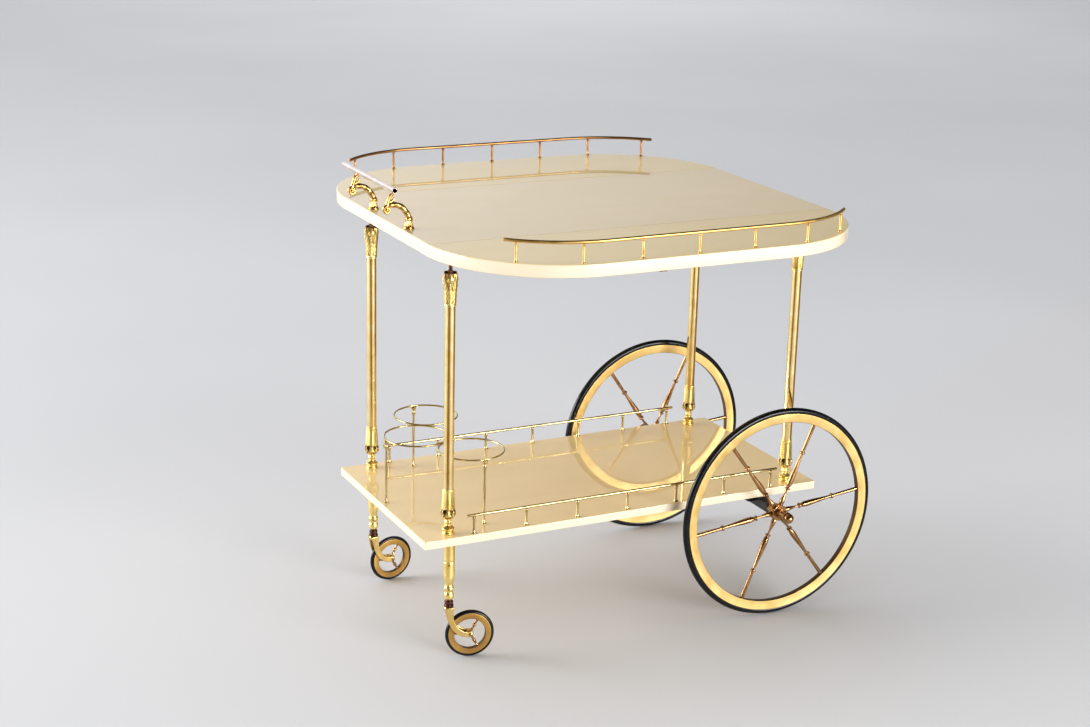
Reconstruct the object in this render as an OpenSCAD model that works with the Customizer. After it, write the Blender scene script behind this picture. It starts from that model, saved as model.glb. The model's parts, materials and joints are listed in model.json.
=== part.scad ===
// Drop-leaf serving trolley: two lacquered boards on four tubes, two leaves
// with gallery rails, two large spoked wheels and two swivel castors.
// Millimetres, +Z up, the floor at Z = 0 and the handle towards -X.
// "front" is the -Y side and "back" is the +Y side.

/* [Table top] */
// Height of the top surface above the floor
top_h = 724; // [700:1:760]
// Length of the top along X
top_l = 750; // [720:1:780]
// Width of the top along Y with both leaves up
top_w = 793; // [780:1:820]
// Radius of the four corners of the top
top_corner_r = 213; // [190:1:220]
// Thickness of the top boards
top_t = 21; // [18:1:24]
// Width of the fixed centre panel
centre_w = 380; // [376:1:384]
// Gap between the centre panel and a leaf
leaf_gap = 0.8; // [0.6:0.1:1.5]

/* [Gallery rails] */
// Height of the rail's centre above the top surface
gallery_h = 33.5; // [28:0.5:40]
// Diameter of the gallery rail
gallery_d = 5.5; // [4:0.5:7]
// Distance from the edge of the top to the rail's centre
gallery_inset = 7.5; // [6:0.5:10]
// Angle at which the bent ends of a rail stop, from the X axis
gallery_end_angle = 44; // [40:1:50]

/* [Lower shelf] */
// Length of the lower shelf along X
shelf_l = 760; // [750:1:770]
// Width of the lower shelf along Y
shelf_w = 390; // [386:1:394]
// Height of the lower shelf's top surface
shelf_h = 225; // [223:1:228]
// Thickness of the lower shelf
shelf_t = 14.5; // [13:0.5:16]
// Height of the shelf rail's centre above the shelf
shelf_rail_h = 32; // [28:1:36]
// Diameter of the shelf rail
shelf_rail_d = 5; // [4:0.5:6]
// Length of the shelf rail
shelf_rail_l = 602; // [596:1:610]

/* [Posts] */
// Distance of the posts from the middle along X
post_x = 329; // [327:1:331]
// Distance of the posts from the middle along Y
post_y = 172; // [171:1:173]
// Outer diameter of the post tube
post_d = 17.4; // [16:0.2:18]
// Bore of the post tube
post_bore_d = 14.4; // [13:0.2:15]
// Diameter of the tie rod inside each post
tie_rod_d = 6; // [5:1:6]

/* [Large wheels] */
// Outer radius of a large wheel
wheel_r = 192; // [188:1:192]
// Distance of the axle from the middle along X
wheel_x = 282; // [280:1:284]
// Distance of a wheel's middle plane from the middle along Y
wheel_y = 228; // [227:1:230]
// Inner radius of the rim
rim_inner_r = 167; // [164:1:168]
// Width of the rim
rim_w = 13; // [12:1:16]
// Diameter of the round tyre
tyre_d = 12; // [11:1:13]
// Number of turned spokes
spoke_count = 6; // [6:1:6]
// Diameter of the axle
axle_d = 8; // [8:1:8]

/* [Castors] */
// Outer radius of a castor wheel
castor_r = 42; // [41:0.5:43]
// Distance of the swivel axes from the middle along X
castor_x = 326; // [324:1:328]
// Distance from the swivel axis back to the wheel's axle
castor_trail = 36; // [34:1:37]
// Angle at which the front castor stands
castor_turn_front = -13; // [-20:1:20]
// Angle at which the back castor stands
castor_turn_back = 7; // [-20:1:20]
// Diameter of the swivel stem
stem_d = 9.2; // [9:0.2:10]

/* [Bottle rings] */
// Radius of a bottle ring to the middle of its wire
ring_r = 55.8; // [54:0.2:56]
// Diameter of the ring wire
ring_wire_d = 3.2; // [3:0.2:3.4]
// Height of the ring wire's centre above the shelf
ring_h = 113.6; // [110:0.2:118]
// Distance of the middle ring's centre from the middle along X
ring_x = 314; // [312:1:315]

/* [Handle] */
// Height of the handle tube's centre above the top surface
handle_h = 66; // [64:1:68]
// Distance of the handle tube from the middle along X
handle_x = 390; // [389:1:391]
// Length of the handle tube
handle_l = 230; // [220:1:240]
// Distance the tube stands off centre towards the back
handle_shift = 28; // [20:1:30]
// Diameter of the handle tube
handle_d = 9.2; // [9:0.2:10]
// Distance of each scroll bracket from the middle along Y
bracket_y = 77.5; // [75:0.5:80]

/* [Hidden] */
$fn = 96;

// The shelf's middle is set off along X so that the whole trolley is centred on the origin
cart_x = -33;
front = -1;
back = 1;
left = -1;
right = 1;

under_h = top_h - top_t;
shelf_under_h = shelf_h - shelf_t;
running_gap = 0.05;

// Leaf hinges: the pin lies below the seam
pin_drop = 3;
pin_z = under_h - pin_drop;
pin_d = 2.4;
knuckle_d = 5.2;
hinge_x = [-230, 230];
hinge_knuckle_l = 15;
hinge_side_gap = 0.3;
plate_t = 1.5;
plate_w = 24;
plate_start = 3.4;

// Leaf stays: each arm turns about a pin below the centre panel's edge
stay_x = -62;
stay_w = 12;
stay_pivot_in = 4;
stay_pivot_drop = 15;
stay_eye_r = 4.5;
stay_tip_y = 387;
stay_tip_t = 3.6;
stay_top_gap = 0.4;
stay_pin_d = 4;
cheek_t = 3;
cheek_gap = 0.4;

// Post fittings
rod_hole_d = tie_rod_d + 0.4;
rod_in_top = 10;
capital_low = 615;
capital_floor = 50;
foot_top = 304;

// Rows of small posts
gallery_pitch = 101;
shelf_post_pitch = 96.3;
shelf_post_y = 187.5;

// Wheels
tyre_r = tyre_d / 2;
tyre_centre_r = wheel_r - tyre_r;
rim_outer_r = 183;
hub_flat_r = 13.5;
hub_in = 20;
hub_out = 21;
axle_len = 513;
spoke_turn_front = 7;
spoke_turn_back = 5;
spoke_end_d = 7;
spoke_socket = 5;

// Castors
castor_tyre_r = 4;
castor_tyre_centre_r = castor_r - castor_tyre_r;
castor_rim_outer_r = 37.5;
castor_rim_inner_r = 27;
castor_rim_w = 8;
castor_hub_r = 6;
castor_hub_w = 11.2;
castor_pin_d = 5;
castor_bend_r = 26;
castor_arm_x = 3;
castor_arm_w = 9.6;
castor_arm_in = 6;
castor_arm_t = 2.4;
fork_top = 93;
leg_low = 108;
stem_top = 150;

// Handle scroll brackets
bracket_x = 362.5;
handle_wall = 1.1;
handle_bore = 14;
scroll_r = 5.4;
scroll_wire_r = 2.8;
scroll_x = 400;
scroll_z = 34;

// A turned solid from a list of [height, radius] steps, with an optional bore
module turned(steps, bore_d = 0) {
    first = steps[0];
    last = steps[len(steps) - 1];
    difference() {
        rotate_extrude()
            polygon(concat([[0, first[0]]], [for (s = steps) [s[1], s[0]]], [[0, last[0]]]));
        if (bore_d > 0)
            translate([0, 0, first[0] - 1])
                cylinder(d = bore_d, h = last[0] - first[0] + 2);
    }
}

// A cylinder along Y between two Y values
module rod_y(d, y0, y1) {
    translate([0, y0, 0])
        rotate([-90, 0, 0])
            cylinder(d = d, h = y1 - y0);
}

// A cylinder along X, centred
module rod_x(d, l) {
    rotate([0, 90, 0])
        cylinder(d = d, h = l, center = true);
}

// A round wire bent about Z from one angle to another
module bent_wire(bend_r, wire_d, from_angle, sweep) {
    rotate([0, 0, from_angle])
        rotate_extrude(angle = sweep)
            translate([bend_r, 0])
                circle(d = wire_d);
}

// Children are copied to the four posts
module at_posts() {
    for (sx = [left, right])
        for (sy = [front, back])
            translate([cart_x + sx * post_x, sy * post_y, 0])
                children();
}

/* ---- boards ---- */

module top_outline() {
    straight_l = top_l - 2 * top_corner_r;
    straight_w = top_w - 2 * top_corner_r;
    square([straight_l, top_w], center = true);
    square([top_l, straight_w], center = true);
    for (sx = [left, right])
        for (sy = [front, back])
            translate([sx * straight_l / 2, sy * straight_w / 2])
                circle(r = top_corner_r);
}

module top_panel() {
    color("moccasin")
        difference() {
            translate([cart_x, 0, under_h])
                linear_extrude(top_t)
                    intersection() {
                        top_outline();
                        square([top_l + 2, centre_w - leaf_gap], center = true);
                    }
            at_posts()
                translate([0, 0, under_h - 1])
                    cylinder(d = rod_hole_d, h = rod_in_top + 1);
        }
}

module leaf(side) {
    color("moccasin")
        translate([cart_x, 0, under_h])
            linear_extrude(top_t)
                intersection() {
                    top_outline();
                    translate([0, side * (centre_w + leaf_gap + top_w) / 2])
                        square([top_l + 2, top_w], center = true);
                }
}

module leaf_front() { leaf(front); }
module leaf_back() { leaf(back); }

module lower_shelf() {
    color("moccasin")
        difference() {
            translate([cart_x - shelf_l / 2, -shelf_w / 2, shelf_under_h])
                cube([shelf_l, shelf_w, shelf_t]);
            at_posts()
                translate([0, 0, shelf_under_h - 1])
                    cylinder(d = rod_hole_d, h = shelf_t + 2);
        }
}

/* ---- gallery rails on the leaves ---- */

gallery_z = top_h + gallery_h;
gallery_bend_r = top_corner_r - gallery_inset;
gallery_bend_x = top_l / 2 - top_corner_r;
gallery_bend_y = top_w / 2 - top_corner_r;
gallery_y = top_w / 2 - gallery_inset;

// Distance of the rail's centre line from the middle along Y, at a distance x along X
function gallery_line(x) =
    abs(x) <= gallery_bend_x
        ? gallery_y
        : gallery_bend_y + sqrt(pow(gallery_bend_r, 2) - pow(abs(x) - gallery_bend_x, 2));

module gallery_rail(side) {
    color("goldenrod")
        translate([cart_x, 0, gallery_z])
            mirror([0, side == front ? 1 : 0, 0]) {
                translate([0, gallery_y, 0])
                    rod_x(gallery_d, 2 * gallery_bend_x);
                for (sx = [0, 1])
                    mirror([sx, 0, 0])
                        translate([-gallery_bend_x, gallery_bend_y, 0])
                            bent_wire(gallery_bend_r, gallery_d, 90, 90 - gallery_end_angle);
            }
}

module gallery_posts(side) {
    post_len = gallery_h - gallery_d / 2;
    end_post_x = 295;
    xs = [-end_post_x, -2 * gallery_pitch, -gallery_pitch, 0, gallery_pitch, 2 * gallery_pitch, end_post_x];
    color("goldenrod")
        for (x = xs)
            translate([cart_x + x, side * gallery_line(x), top_h])
                turned([[0, 3.4], [1.6, 3.4], [3, 2.1], [post_len - 2, 2.1], [post_len - 0.6, 2.7],
                        [post_len, 2.4]]);
}

module gallery_rail_front() { gallery_rail(front); }
module gallery_rail_back() { gallery_rail(back); }
module gallery_posts_front() { gallery_posts(front); }
module gallery_posts_back() { gallery_posts(back); }

/* ---- leaf hinges and stays ---- */

// Position of a hinge pin's middle
module at_hinges(side) {
    for (x = hinge_x)
        translate([cart_x + x, side * centre_w / 2, pin_z])
            children();
}

// One knuckle with the web that joins it to its plate; dir is +1 outwards and -1 inwards
module knuckle(x0, l, dir, bore_d) {
    translate([x0, 0, 0])
        difference() {
            union() {
                rotate([0, 90, 0])
                    cylinder(d = knuckle_d, h = l);
                translate([0, dir > 0 ? 0 : -plate_start, pin_drop - plate_t])
                    cube([l, plate_start, plate_t - 0.4]);
            }
            translate([-1, 0, 0])
                rotate([0, 90, 0])
                    cylinder(d = bore_d, h = l + 2);
        }
}

module hinge_plate(dir) {
    plate_l = 3 * hinge_knuckle_l;
    translate([-plate_l / 2, dir > 0 ? plate_start : -plate_start - plate_w, pin_drop - plate_t])
        cube([plate_l, plate_w, plate_t]);
}

module hinge_plates_fixed() {
    color("darkgoldenrod")
        for (side = [front, back])
            at_hinges(side)
                mirror([0, side == front ? 1 : 0, 0]) {
                    hinge_plate(-1);
                    for (x0 = [-1.5, 0.5])
                        knuckle(x0 * hinge_knuckle_l, hinge_knuckle_l, -1, pin_d);
                }
}

module hinge_plates_moving(side) {
    color("darkgoldenrod")
        at_hinges(side)
            mirror([0, side == front ? 1 : 0, 0]) {
                hinge_plate(1);
                knuckle(-hinge_knuckle_l / 2 + hinge_side_gap, hinge_knuckle_l - 2 * hinge_side_gap, 1,
                        pin_d + 2 * running_gap);
            }
}

module hinge_plates_front() { hinge_plates_moving(front); }
module hinge_plates_back() { hinge_plates_moving(back); }

module hinge_pins() {
    color("dimgray")
        for (side = [front, back])
            at_hinges(side)
                rod_x(pin_d, 3 * hinge_knuckle_l);
}

// Position of a stay's pivot
module at_stay(side) {
    translate([cart_x + stay_x, side * (centre_w / 2 - stay_pivot_in), under_h - stay_pivot_drop])
        mirror([0, side == front ? 1 : 0, 0])
            children();
}

module stay_brackets() {
    cheek_r = 5;
    cheek_l = 26;
    foot_w = 22;
    inner = stay_w / 2 + cheek_gap;
    color("darkgoldenrod")
        for (side = [front, back])
            at_stay(side) {
                for (sx = [0, 1])
                    mirror([sx, 0, 0])
                        difference() {
                            union() {
                                translate([inner, 0, 0])
                                    rotate([0, 90, 0])
                                        cylinder(r = cheek_r, h = cheek_t);
                                translate([inner, -cheek_l, 0])
                                    cube([cheek_t, cheek_l, stay_pivot_drop]);
                                translate([inner, 0, 0])
                                    cube([cheek_t, cheek_r, stay_pivot_drop - stay_eye_r]);
                            }
                            translate([inner - 1, 0, 0])
                                rotate([0, 90, 0])
                                    cylinder(d = stay_pin_d, h = cheek_t + 2);
                        }
                translate([-foot_w / 2, -cheek_l, stay_pivot_drop - plate_t])
                    cube([foot_w, cheek_l - cheek_r, plate_t]);
                rod_x(stay_pin_d, 2 * (inner + cheek_t));
            }
}

module stay_arm(side) {
    reach = stay_tip_y - centre_w / 2 + stay_pivot_in;
    tip_top = stay_pivot_drop - stay_top_gap;
    tip_low = tip_top - stay_tip_t;
    pad_l = 14;
    color("sienna")
        at_stay(side)
            rotate([90, 0, 90])
                difference() {
                    linear_extrude(stay_w, center = true)
                        union() {
                            circle(r = stay_eye_r);
                            polygon([[0, -stay_eye_r], [reach, tip_low], [reach, tip_top],
                                     [reach - pad_l, tip_top], [0, stay_eye_r]]);
                        }
                    cylinder(d = stay_pin_d + 2 * running_gap, h = stay_w + 2, center = true);
                }
}

module stay_arm_front() { stay_arm(front); }
module stay_arm_back() { stay_arm(back); }

/* ---- posts ---- */

module post_tube(sx, sy) {
    color("goldenrod")
        translate([cart_x + sx * post_x, sy * post_y, foot_top])
            difference() {
                cylinder(d = post_d, h = capital_low - foot_top);
                translate([0, 0, -1])
                    cylinder(d = post_bore_d, h = capital_low - foot_top + 2);
            }
}

module post_front_left() { post_tube(left, front); }
module post_front_right() { post_tube(right, front); }
module post_back_left() { post_tube(left, back); }
module post_back_right() { post_tube(right, back); }

module post_capitals() {
    color("gold")
        at_posts()
            translate([0, 0, capital_low])
                turned([[0, 9.3], [6, 9.3], [8, 9.8], [26, 10.7], [34, 12.2], [46, 13.1], [53, 12.4],
                        [56, 11.4], [56, 10.2], [capital_floor, 8.6]],
                       rod_hole_d);
}

module post_feet() {
    color("gold")
        at_posts()
            translate([0, 0, shelf_h])
                turned([[0, 10.4], [3.5, 10.4], [5, 8.6], [7.5, 9.4], [9.5, 10.9], [11.5, 9.2], [15, 5.2],
                        [17, 5.4], [19, 6.3], [22.5, 6.3], [25, 5.4], [28, 9.5], [34, 13.4], [40, 13.4],
                        [44, 10.6], [60, 10], [foot_top - shelf_h, 9.3]],
                       rod_hole_d);
}

// Left rods screw into the castor legs and right rods end below the shelf
module tie_rods() {
    left_end = 186;
    right_end = 202;
    color("dimgray")
        for (sx = [left, right])
            for (sy = [front, back]) {
                low = sx == left ? left_end : right_end;
                translate([cart_x + sx * post_x, sy * post_y, low])
                    cylinder(d = tie_rod_d, h = under_h + rod_in_top - low);
            }
}

module tie_rod_nut(d, h) {
    difference() {
        cylinder(d = d, h = h, $fn = 6);
        translate([0, 0, -1])
            cylinder(d = tie_rod_d, h = h + 2);
    }
}

// One nut in the cup of each capital, and one under the shelf at the wheel end
module tie_rod_nuts() {
    shelf_nut_d = 12;
    shelf_nut_h = 5;
    capital_nut_d = 10.4;
    capital_nut_h = 9;
    color("dimgray") {
        at_posts()
            translate([0, 0, capital_low + capital_floor])
                tie_rod_nut(capital_nut_d, capital_nut_h);
        for (sy = [front, back])
            translate([cart_x + post_x, sy * post_y, shelf_under_h - shelf_nut_h])
                tie_rod_nut(shelf_nut_d, shelf_nut_h);
    }
}

/* ---- shelf rails ---- */

module shelf_rail(side) {
    color("goldenrod")
        translate([cart_x, side * shelf_post_y, shelf_h + shelf_rail_h])
            rod_x(shelf_rail_d, shelf_rail_l);
}

module shelf_rail_posts(side) {
    post_len = shelf_rail_h - shelf_rail_d / 2;
    color("goldenrod")
        for (i = [-3:3])
            translate([cart_x + i * shelf_post_pitch, side * shelf_post_y, shelf_h])
                turned([[0, 4.4], [1.2, 4.4], [2.4, 3.4], [post_len - 3, 2.2], [post_len - 1, 2.8],
                        [post_len, 2.4]]);
}

module shelf_rail_front() { shelf_rail(front); }
module shelf_rail_back() { shelf_rail(back); }
module shelf_rail_posts_front() { shelf_rail_posts(front); }
module shelf_rail_posts_back() { shelf_rail_posts(back); }

/* ---- bottle rings ---- */

// The outer rings touch the middle ring from both sides
ring_pitch = 2 * ring_r + ring_wire_d;
outer_ring_x = 255.5;
outer_ring_y = sqrt(pow(ring_pitch, 2) - pow(ring_x - outer_ring_x, 2));

module bottle_ring(x, y) {
    color("gold")
        translate([cart_x - x, y, shelf_h + ring_h])
            rotate_extrude()
                translate([ring_r, 0])
                    circle(d = ring_wire_d);
}

module bottle_ring_front() { bottle_ring(outer_ring_x, -outer_ring_y); }
module bottle_ring_middle() { bottle_ring(ring_x, 0); }
module bottle_ring_back() { bottle_ring(outer_ring_x, outer_ring_y); }

module bottle_ring_legs() {
    leg_h = ring_h - ring_wire_d / 2;
    places = [[-outer_ring_x, -outer_ring_y - ring_r], [-ring_x - ring_r, 0],
              [-outer_ring_x, outer_ring_y + ring_r]];
    color("gold")
        for (p = places)
            translate([cart_x + p[0], p[1], shelf_h])
                turned([[0, 4], [1.5, 4], [2.5, 2.4], [60, 1.9], [leg_h - 16, 2], [leg_h - 12, 3.4],
                        [leg_h - 7, 3], [leg_h - 3, 5], [leg_h - 1, 5], [leg_h, 3.8]]);
}

/* ---- handle ---- */

module handle_tube() {
    color("lightgoldenrodyellow")
        translate([cart_x - handle_x, 0, top_h + handle_h])
            difference() {
                rod_y(handle_d, handle_shift - handle_l / 2, handle_shift + handle_l / 2);
                for (side = [front, back])
                    translate([0, handle_shift + side * handle_l / 2, 0])
                        rod_y(handle_d - 2 * handle_wall, -handle_bore, handle_bore);
            }
}

// Scroll bracket in the XZ plane: flange, bell, bent arm, volute and a stem up to the tube, which sits
// in a shallow saddle on the stem's end
module handle_bracket(side) {
    flange_h = 3;
    bell_h = 22;
    flange_r = 9.2;
    arm_d = 8;
    arm_bend_r = 19.5;
    arm_sweep = 138;
    stem_d1 = 4.6;
    stem_low = 39;
    stem_lean = scroll_x - handle_x;
    stem_high = handle_h - handle_d / 2 + 0.4;
    curl_r = 2.6;
    color("gold")
        translate([cart_x, side * bracket_y, top_h]) difference() {
            union() {
                translate([-bracket_x, 0, 0])
                    turned([[0, flange_r], [flange_h, flange_r], [flange_h + 1, 7.4], [8, 5.8], [14, 4.4],
                            [17, 5.2], [bell_h, 4]]);
                translate([-bracket_x - arm_bend_r, 0, bell_h])
                    rotate([90, 0, 0])
                        bent_wire(arm_bend_r, arm_d, 0, arm_sweep);
                translate([-scroll_x, 0, scroll_z])
                    rotate([90, 0, 0]) {
                        bent_wire(scroll_r, 2 * scroll_wire_r, 0, 360);
                        sphere(r = 3.2);
                    }
                translate([-scroll_x, 0, stem_low])
                    rotate([0, atan2(stem_lean, stem_high - stem_low), 0])
                        cylinder(d1 = stem_d1 + 1.6, d2 = stem_d1,
                                 h = sqrt(pow(stem_lean, 2) + pow(stem_high - stem_low, 2)));
                translate([-scroll_x + 9, 0, 50])
                    rotate([90, 0, 0])
                        bent_wire(curl_r, 2.6, -170, 300);
            }
            translate([-handle_x, 0, handle_h])
                rod_y(handle_d, -handle_d, handle_d);
        }
}

module handle_bracket_front() { handle_bracket(front); }
module handle_bracket_back() { handle_bracket(back); }

/* ---- axle ---- */

beam_half = 206;
beam_d = 16;
block_y = 150;

module axle_beam() {
    block_l = 44;
    block_w = 30;
    color("black")
        translate([cart_x + wheel_x, 0, wheel_r])
            difference() {
                union() {
                    translate([-beam_d / 2, -beam_half, -beam_d / 2])
                        cube([beam_d, 2 * beam_half, beam_d]);
                    for (sy = [front, back])
                        translate([-block_l / 2, sy * block_y - block_w / 2, 0])
                            cube([block_l, block_w, shelf_under_h - wheel_r]);
                }
                rod_y(axle_d, -beam_half - 1, beam_half + 1);
            }
}

module axle() {
    color("gray")
        translate([cart_x + wheel_x, 0, wheel_r])
            rod_y(axle_d, -axle_len / 2, axle_len / 2);
}

nut_in = wheel_y + hub_out + 0.3;
nut_w = 4.5;

module axle_nuts() {
    color("gray")
        for (side = [front, back])
            at_wheel(side)
                translate([0, nut_in - wheel_y, 0])
                    rotate([-90, 0, 0])
                        difference() {
                            cylinder(d = 13, h = nut_w, $fn = 6);
                            translate([0, 0, -1])
                                cylinder(d = axle_d, h = nut_w + 2);
                        }
}

/* ---- large wheels: Y runs outwards from the wheel's middle plane ---- */

module at_wheel(side) {
    translate([cart_x + wheel_x, side * wheel_y, wheel_r])
        mirror([0, side == front ? 1 : 0, 0])
            children();
}

// Children are copied to each spoke, with Z along the spoke
module at_spokes(side) {
    turn = side == front ? spoke_turn_front : spoke_turn_back;
    for (i = [0:spoke_count - 1])
        rotate([0, 90 - turn - i * 360 / spoke_count, 0])
            children();
}

module wheel_ring(inner_r, outer_r, w) {
    rotate([-90, 0, 0])
        translate([0, 0, -w / 2])
            difference() {
                cylinder(r = outer_r, h = w);
                translate([0, 0, -1])
                    cylinder(r = inner_r, h = w + 2);
            }
}

module round_tyre(centre_r, section_r) {
    rotate([90, 0, 0])
        rotate_extrude()
            translate([centre_r, 0])
                circle(r = section_r);
}

module wheel_tyre(side) {
    color([0.06, 0.06, 0.07])
        at_wheel(side)
            difference() {
                round_tyre(tyre_centre_r, tyre_r);
                wheel_ring(rim_inner_r, rim_outer_r - 2.5, rim_w);
            }
}

module wheel_rim(side) {
    color("gold")
        at_wheel(side)
            difference() {
                wheel_ring(rim_inner_r, rim_outer_r, rim_w);
                wheel_tyre_groove();
                at_spokes(side)
                    translate([0, 0, rim_inner_r - 1])
                        cylinder(d = spoke_end_d, h = spoke_socket + 1);
            }
}

module wheel_tyre_groove() {
    difference() {
        round_tyre(tyre_centre_r, tyre_r);
        wheel_ring(rim_inner_r, rim_outer_r - 2.5, rim_w);
    }
}

module wheel_spokes(side) {
    tenon = 4;
    color("peru")
        at_wheel(side)
            at_spokes(side)
                turned([[hub_flat_r - tenon, 2.6], [hub_flat_r, 2.6], [hub_flat_r, 3.4], [17, 4.4], [22, 4.5],
                        [29, 3.1], [36, 1.9], [42.6, 1.9], [43.4, 4.8], [46.4, 4.8], [47.2, 3.2], [52, 4.6],
                        [60, 5.2], [66, 5.1], [86, 3.9], [104, 2.8], [111, 2.6], [112, 5], [115, 5], [116, 3],
                        [rim_inner_r, spoke_end_d / 2], [rim_inner_r + spoke_socket, spoke_end_d / 2]]);
}

module wheel_hub(side) {
    barrel_r = 8.5;
    core_half = 7;
    core_corner_d = 2 * hub_flat_r / cos(30);
    turn = side == front ? spoke_turn_front : spoke_turn_back;
    color("peru")
        at_wheel(side)
            difference() {
                union() {
                    rotate([-90, 0, 0])
                        translate([0, 0, -hub_in])
                            turned([[0, 9.4], [3, 9.4], [5, barrel_r], [hub_in + hub_out - 5, barrel_r],
                                    [hub_in + hub_out - 3, 9.4], [hub_in + hub_out, 9.4]]);
                    rotate([0, 30 - turn, 0])
                        rotate([-90, 0, 0])
                            cylinder(d = core_corner_d, h = 2 * core_half, center = true, $fn = 6);
                }
                rod_y(axle_d + 2 * running_gap, -hub_in - 1, hub_out + 1);
                at_spokes(side)
                    translate([0, 0, hub_flat_r - 4])
                        cylinder(r = 2.6, h = 6);
            }
}

module hub_cap(side) {
    cap_h = 11;
    socket_h = 9;
    ball_r = 9;
    ball_at = 14.9;
    color("peru")
        at_wheel(side)
            translate([0, hub_out, 0])
                rotate([-90, 0, 0])
                    difference() {
                        union() {
                            turned([[0, 9.4], [cap_h - 1, 9.4], [cap_h, 8], [cap_h + 1, 8]]);
                            translate([0, 0, ball_at])
                                sphere(r = ball_r);
                        }
                        translate([0, 0, -ball_r])
                            cylinder(r = 7.9, h = ball_r + socket_h);
                    }
}

module wheel_tyre_front() { wheel_tyre(front); }
module wheel_rim_front() { wheel_rim(front); }
module wheel_spokes_front() { wheel_spokes(front); }
module wheel_hub_front() { wheel_hub(front); }
module hub_cap_front() { hub_cap(front); }
module wheel_tyre_back() { wheel_tyre(back); }
module wheel_rim_back() { wheel_rim(back); }
module wheel_spokes_back() { wheel_spokes(back); }
module wheel_hub_back() { wheel_hub(back); }
module hub_cap_back() { hub_cap(back); }

/* ---- castors: X runs back from the swivel axis to the wheel ---- */

module at_castor(side) {
    translate([cart_x - castor_x, side * post_y, 0])
        rotate([0, 0, side == front ? castor_turn_front : castor_turn_back])
            children();
}

module castor_leg(side) {
    color("gold")
        translate([cart_x - castor_x, side * post_y, 0])
            difference() {
                turned([[leg_low, 7.6], [110, 8.3], [118, 8.3], [120, 6.9], [122, 6.9], [124, 8.5],
                        [129, 8.5], [131, 7], [136, 7], [142, 8.4], [147, 9.6], [174, 9.6], [175, 8.8],
                        [177, 8.8], [178, 9.3], [shelf_under_h, 9.3]]);
                translate([0, 0, leg_low - 1])
                    cylinder(d = stem_d + 2 * running_gap, h = stem_top - leg_low + 2);
                translate([castor_x - post_x, 0, 180])
                    cylinder(d = rod_hole_d, h = shelf_under_h - 180 + 1);
            }
}

module castor_stem(side) {
    peg_low = 87;
    color("dimgray")
        at_castor(side)
            turned([[peg_low, stem_d / 2], [fork_top, stem_d / 2], [fork_top, 7.4], [fork_top + 1.5, 8.2],
                    [fork_top + 4, 8.2], [fork_top + 5, 7.4], [fork_top + 9, 7], [fork_top + 9.5, 5.8],
                    [leg_low - 0.4, 5.8], [leg_low - 0.4, stem_d / 2], [stem_top, stem_d / 2]]);
}

// Side view of one fork arm: down, round a quarter bend and back to the axle
module fork_arm_outline() {
    half = castor_arm_w / 2;
    bend_z = castor_r + castor_bend_r;
    translate([castor_arm_x - half, bend_z])
        square([castor_arm_w, fork_top - bend_z]);
    translate([castor_arm_x + castor_bend_r, bend_z])
        intersection() {
            difference() {
                circle(r = castor_bend_r + half);
                circle(r = castor_bend_r - half);
            }
            translate([-2 * castor_bend_r, -2 * castor_bend_r])
                square(2 * castor_bend_r);
        }
    translate([castor_arm_x + castor_bend_r, castor_r - half])
        square([castor_trail - castor_arm_x - castor_bend_r, castor_arm_w]);
    translate([castor_trail, castor_r])
        circle(r = half);
}

module castor_fork(side) {
    crown_h = 7;
    color("goldenrod")
        at_castor(side)
            difference() {
                union() {
                    for (sy = [0, 1])
                        mirror([0, sy, 0])
                            translate([0, castor_arm_in + castor_arm_t, 0])
                                rotate([90, 0, 0])
                                    linear_extrude(castor_arm_t)
                                        fork_arm_outline();
                    translate([0, 0, fork_top - crown_h])
                        cylinder(r = castor_arm_in + castor_arm_t, h = crown_h);
                }
                translate([0, 0, 87])
                    cylinder(d = stem_d, h = fork_top);
                translate([castor_trail, 0, castor_r])
                    rod_y(castor_pin_d, -12, 12);
            }
}

module castor_axle(side) {
    head_t = 1.6;
    head_d = 7;
    outer = castor_arm_in + castor_arm_t;
    color("dimgray")
        at_castor(side)
            translate([castor_trail, 0, castor_r]) {
                rod_y(castor_pin_d, -outer - head_t, outer + head_t);
                for (sy = [0, 1])
                    mirror([0, sy, 0])
                        rod_y(head_d, outer, outer + head_t);
            }
}

module castor_tyre_shape() {
    difference() {
        round_tyre(castor_tyre_centre_r, castor_tyre_r);
        wheel_ring(castor_rim_inner_r, castor_rim_outer_r - 1.5, castor_rim_w + 1);
    }
}

module castor_tyre(side) {
    color([0.06, 0.06, 0.07])
        at_castor(side)
            translate([castor_trail, 0, castor_r])
                castor_tyre_shape();
}

// Rim, three spokes and hub cast in one piece
module castor_rim(side) {
    spoke_from = castor_hub_r - 1;
    first_spoke = 60;
    color("goldenrod")
        at_castor(side)
            translate([castor_trail, 0, castor_r])
                difference() {
                    union() {
                        difference() {
                            wheel_ring(castor_rim_inner_r, castor_rim_outer_r, castor_rim_w);
                            castor_tyre_shape();
                        }
                        wheel_ring(castor_pin_d / 2, castor_hub_r, castor_hub_w);
                        for (i = [0:2])
                            rotate([0, 90 - first_spoke - i * 120, 0])
                                translate([0, 0, spoke_from])
                                    cylinder(d1 = 5.4, d2 = 4, h = castor_rim_inner_r + 1 - spoke_from);
                    }
                    rod_y(castor_pin_d + 2 * running_gap, -castor_hub_w, castor_hub_w);
                }
}

module castor_leg_front() { castor_leg(front); }
module castor_stem_front() { castor_stem(front); }
module castor_fork_front() { castor_fork(front); }
module castor_axle_front() { castor_axle(front); }
module castor_tyre_front() { castor_tyre(front); }
module castor_rim_front() { castor_rim(front); }
module castor_leg_back() { castor_leg(back); }
module castor_stem_back() { castor_stem(back); }
module castor_fork_back() { castor_fork(back); }
module castor_axle_back() { castor_axle(back); }
module castor_tyre_back() { castor_tyre(back); }
module castor_rim_back() { castor_rim(back); }

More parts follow.
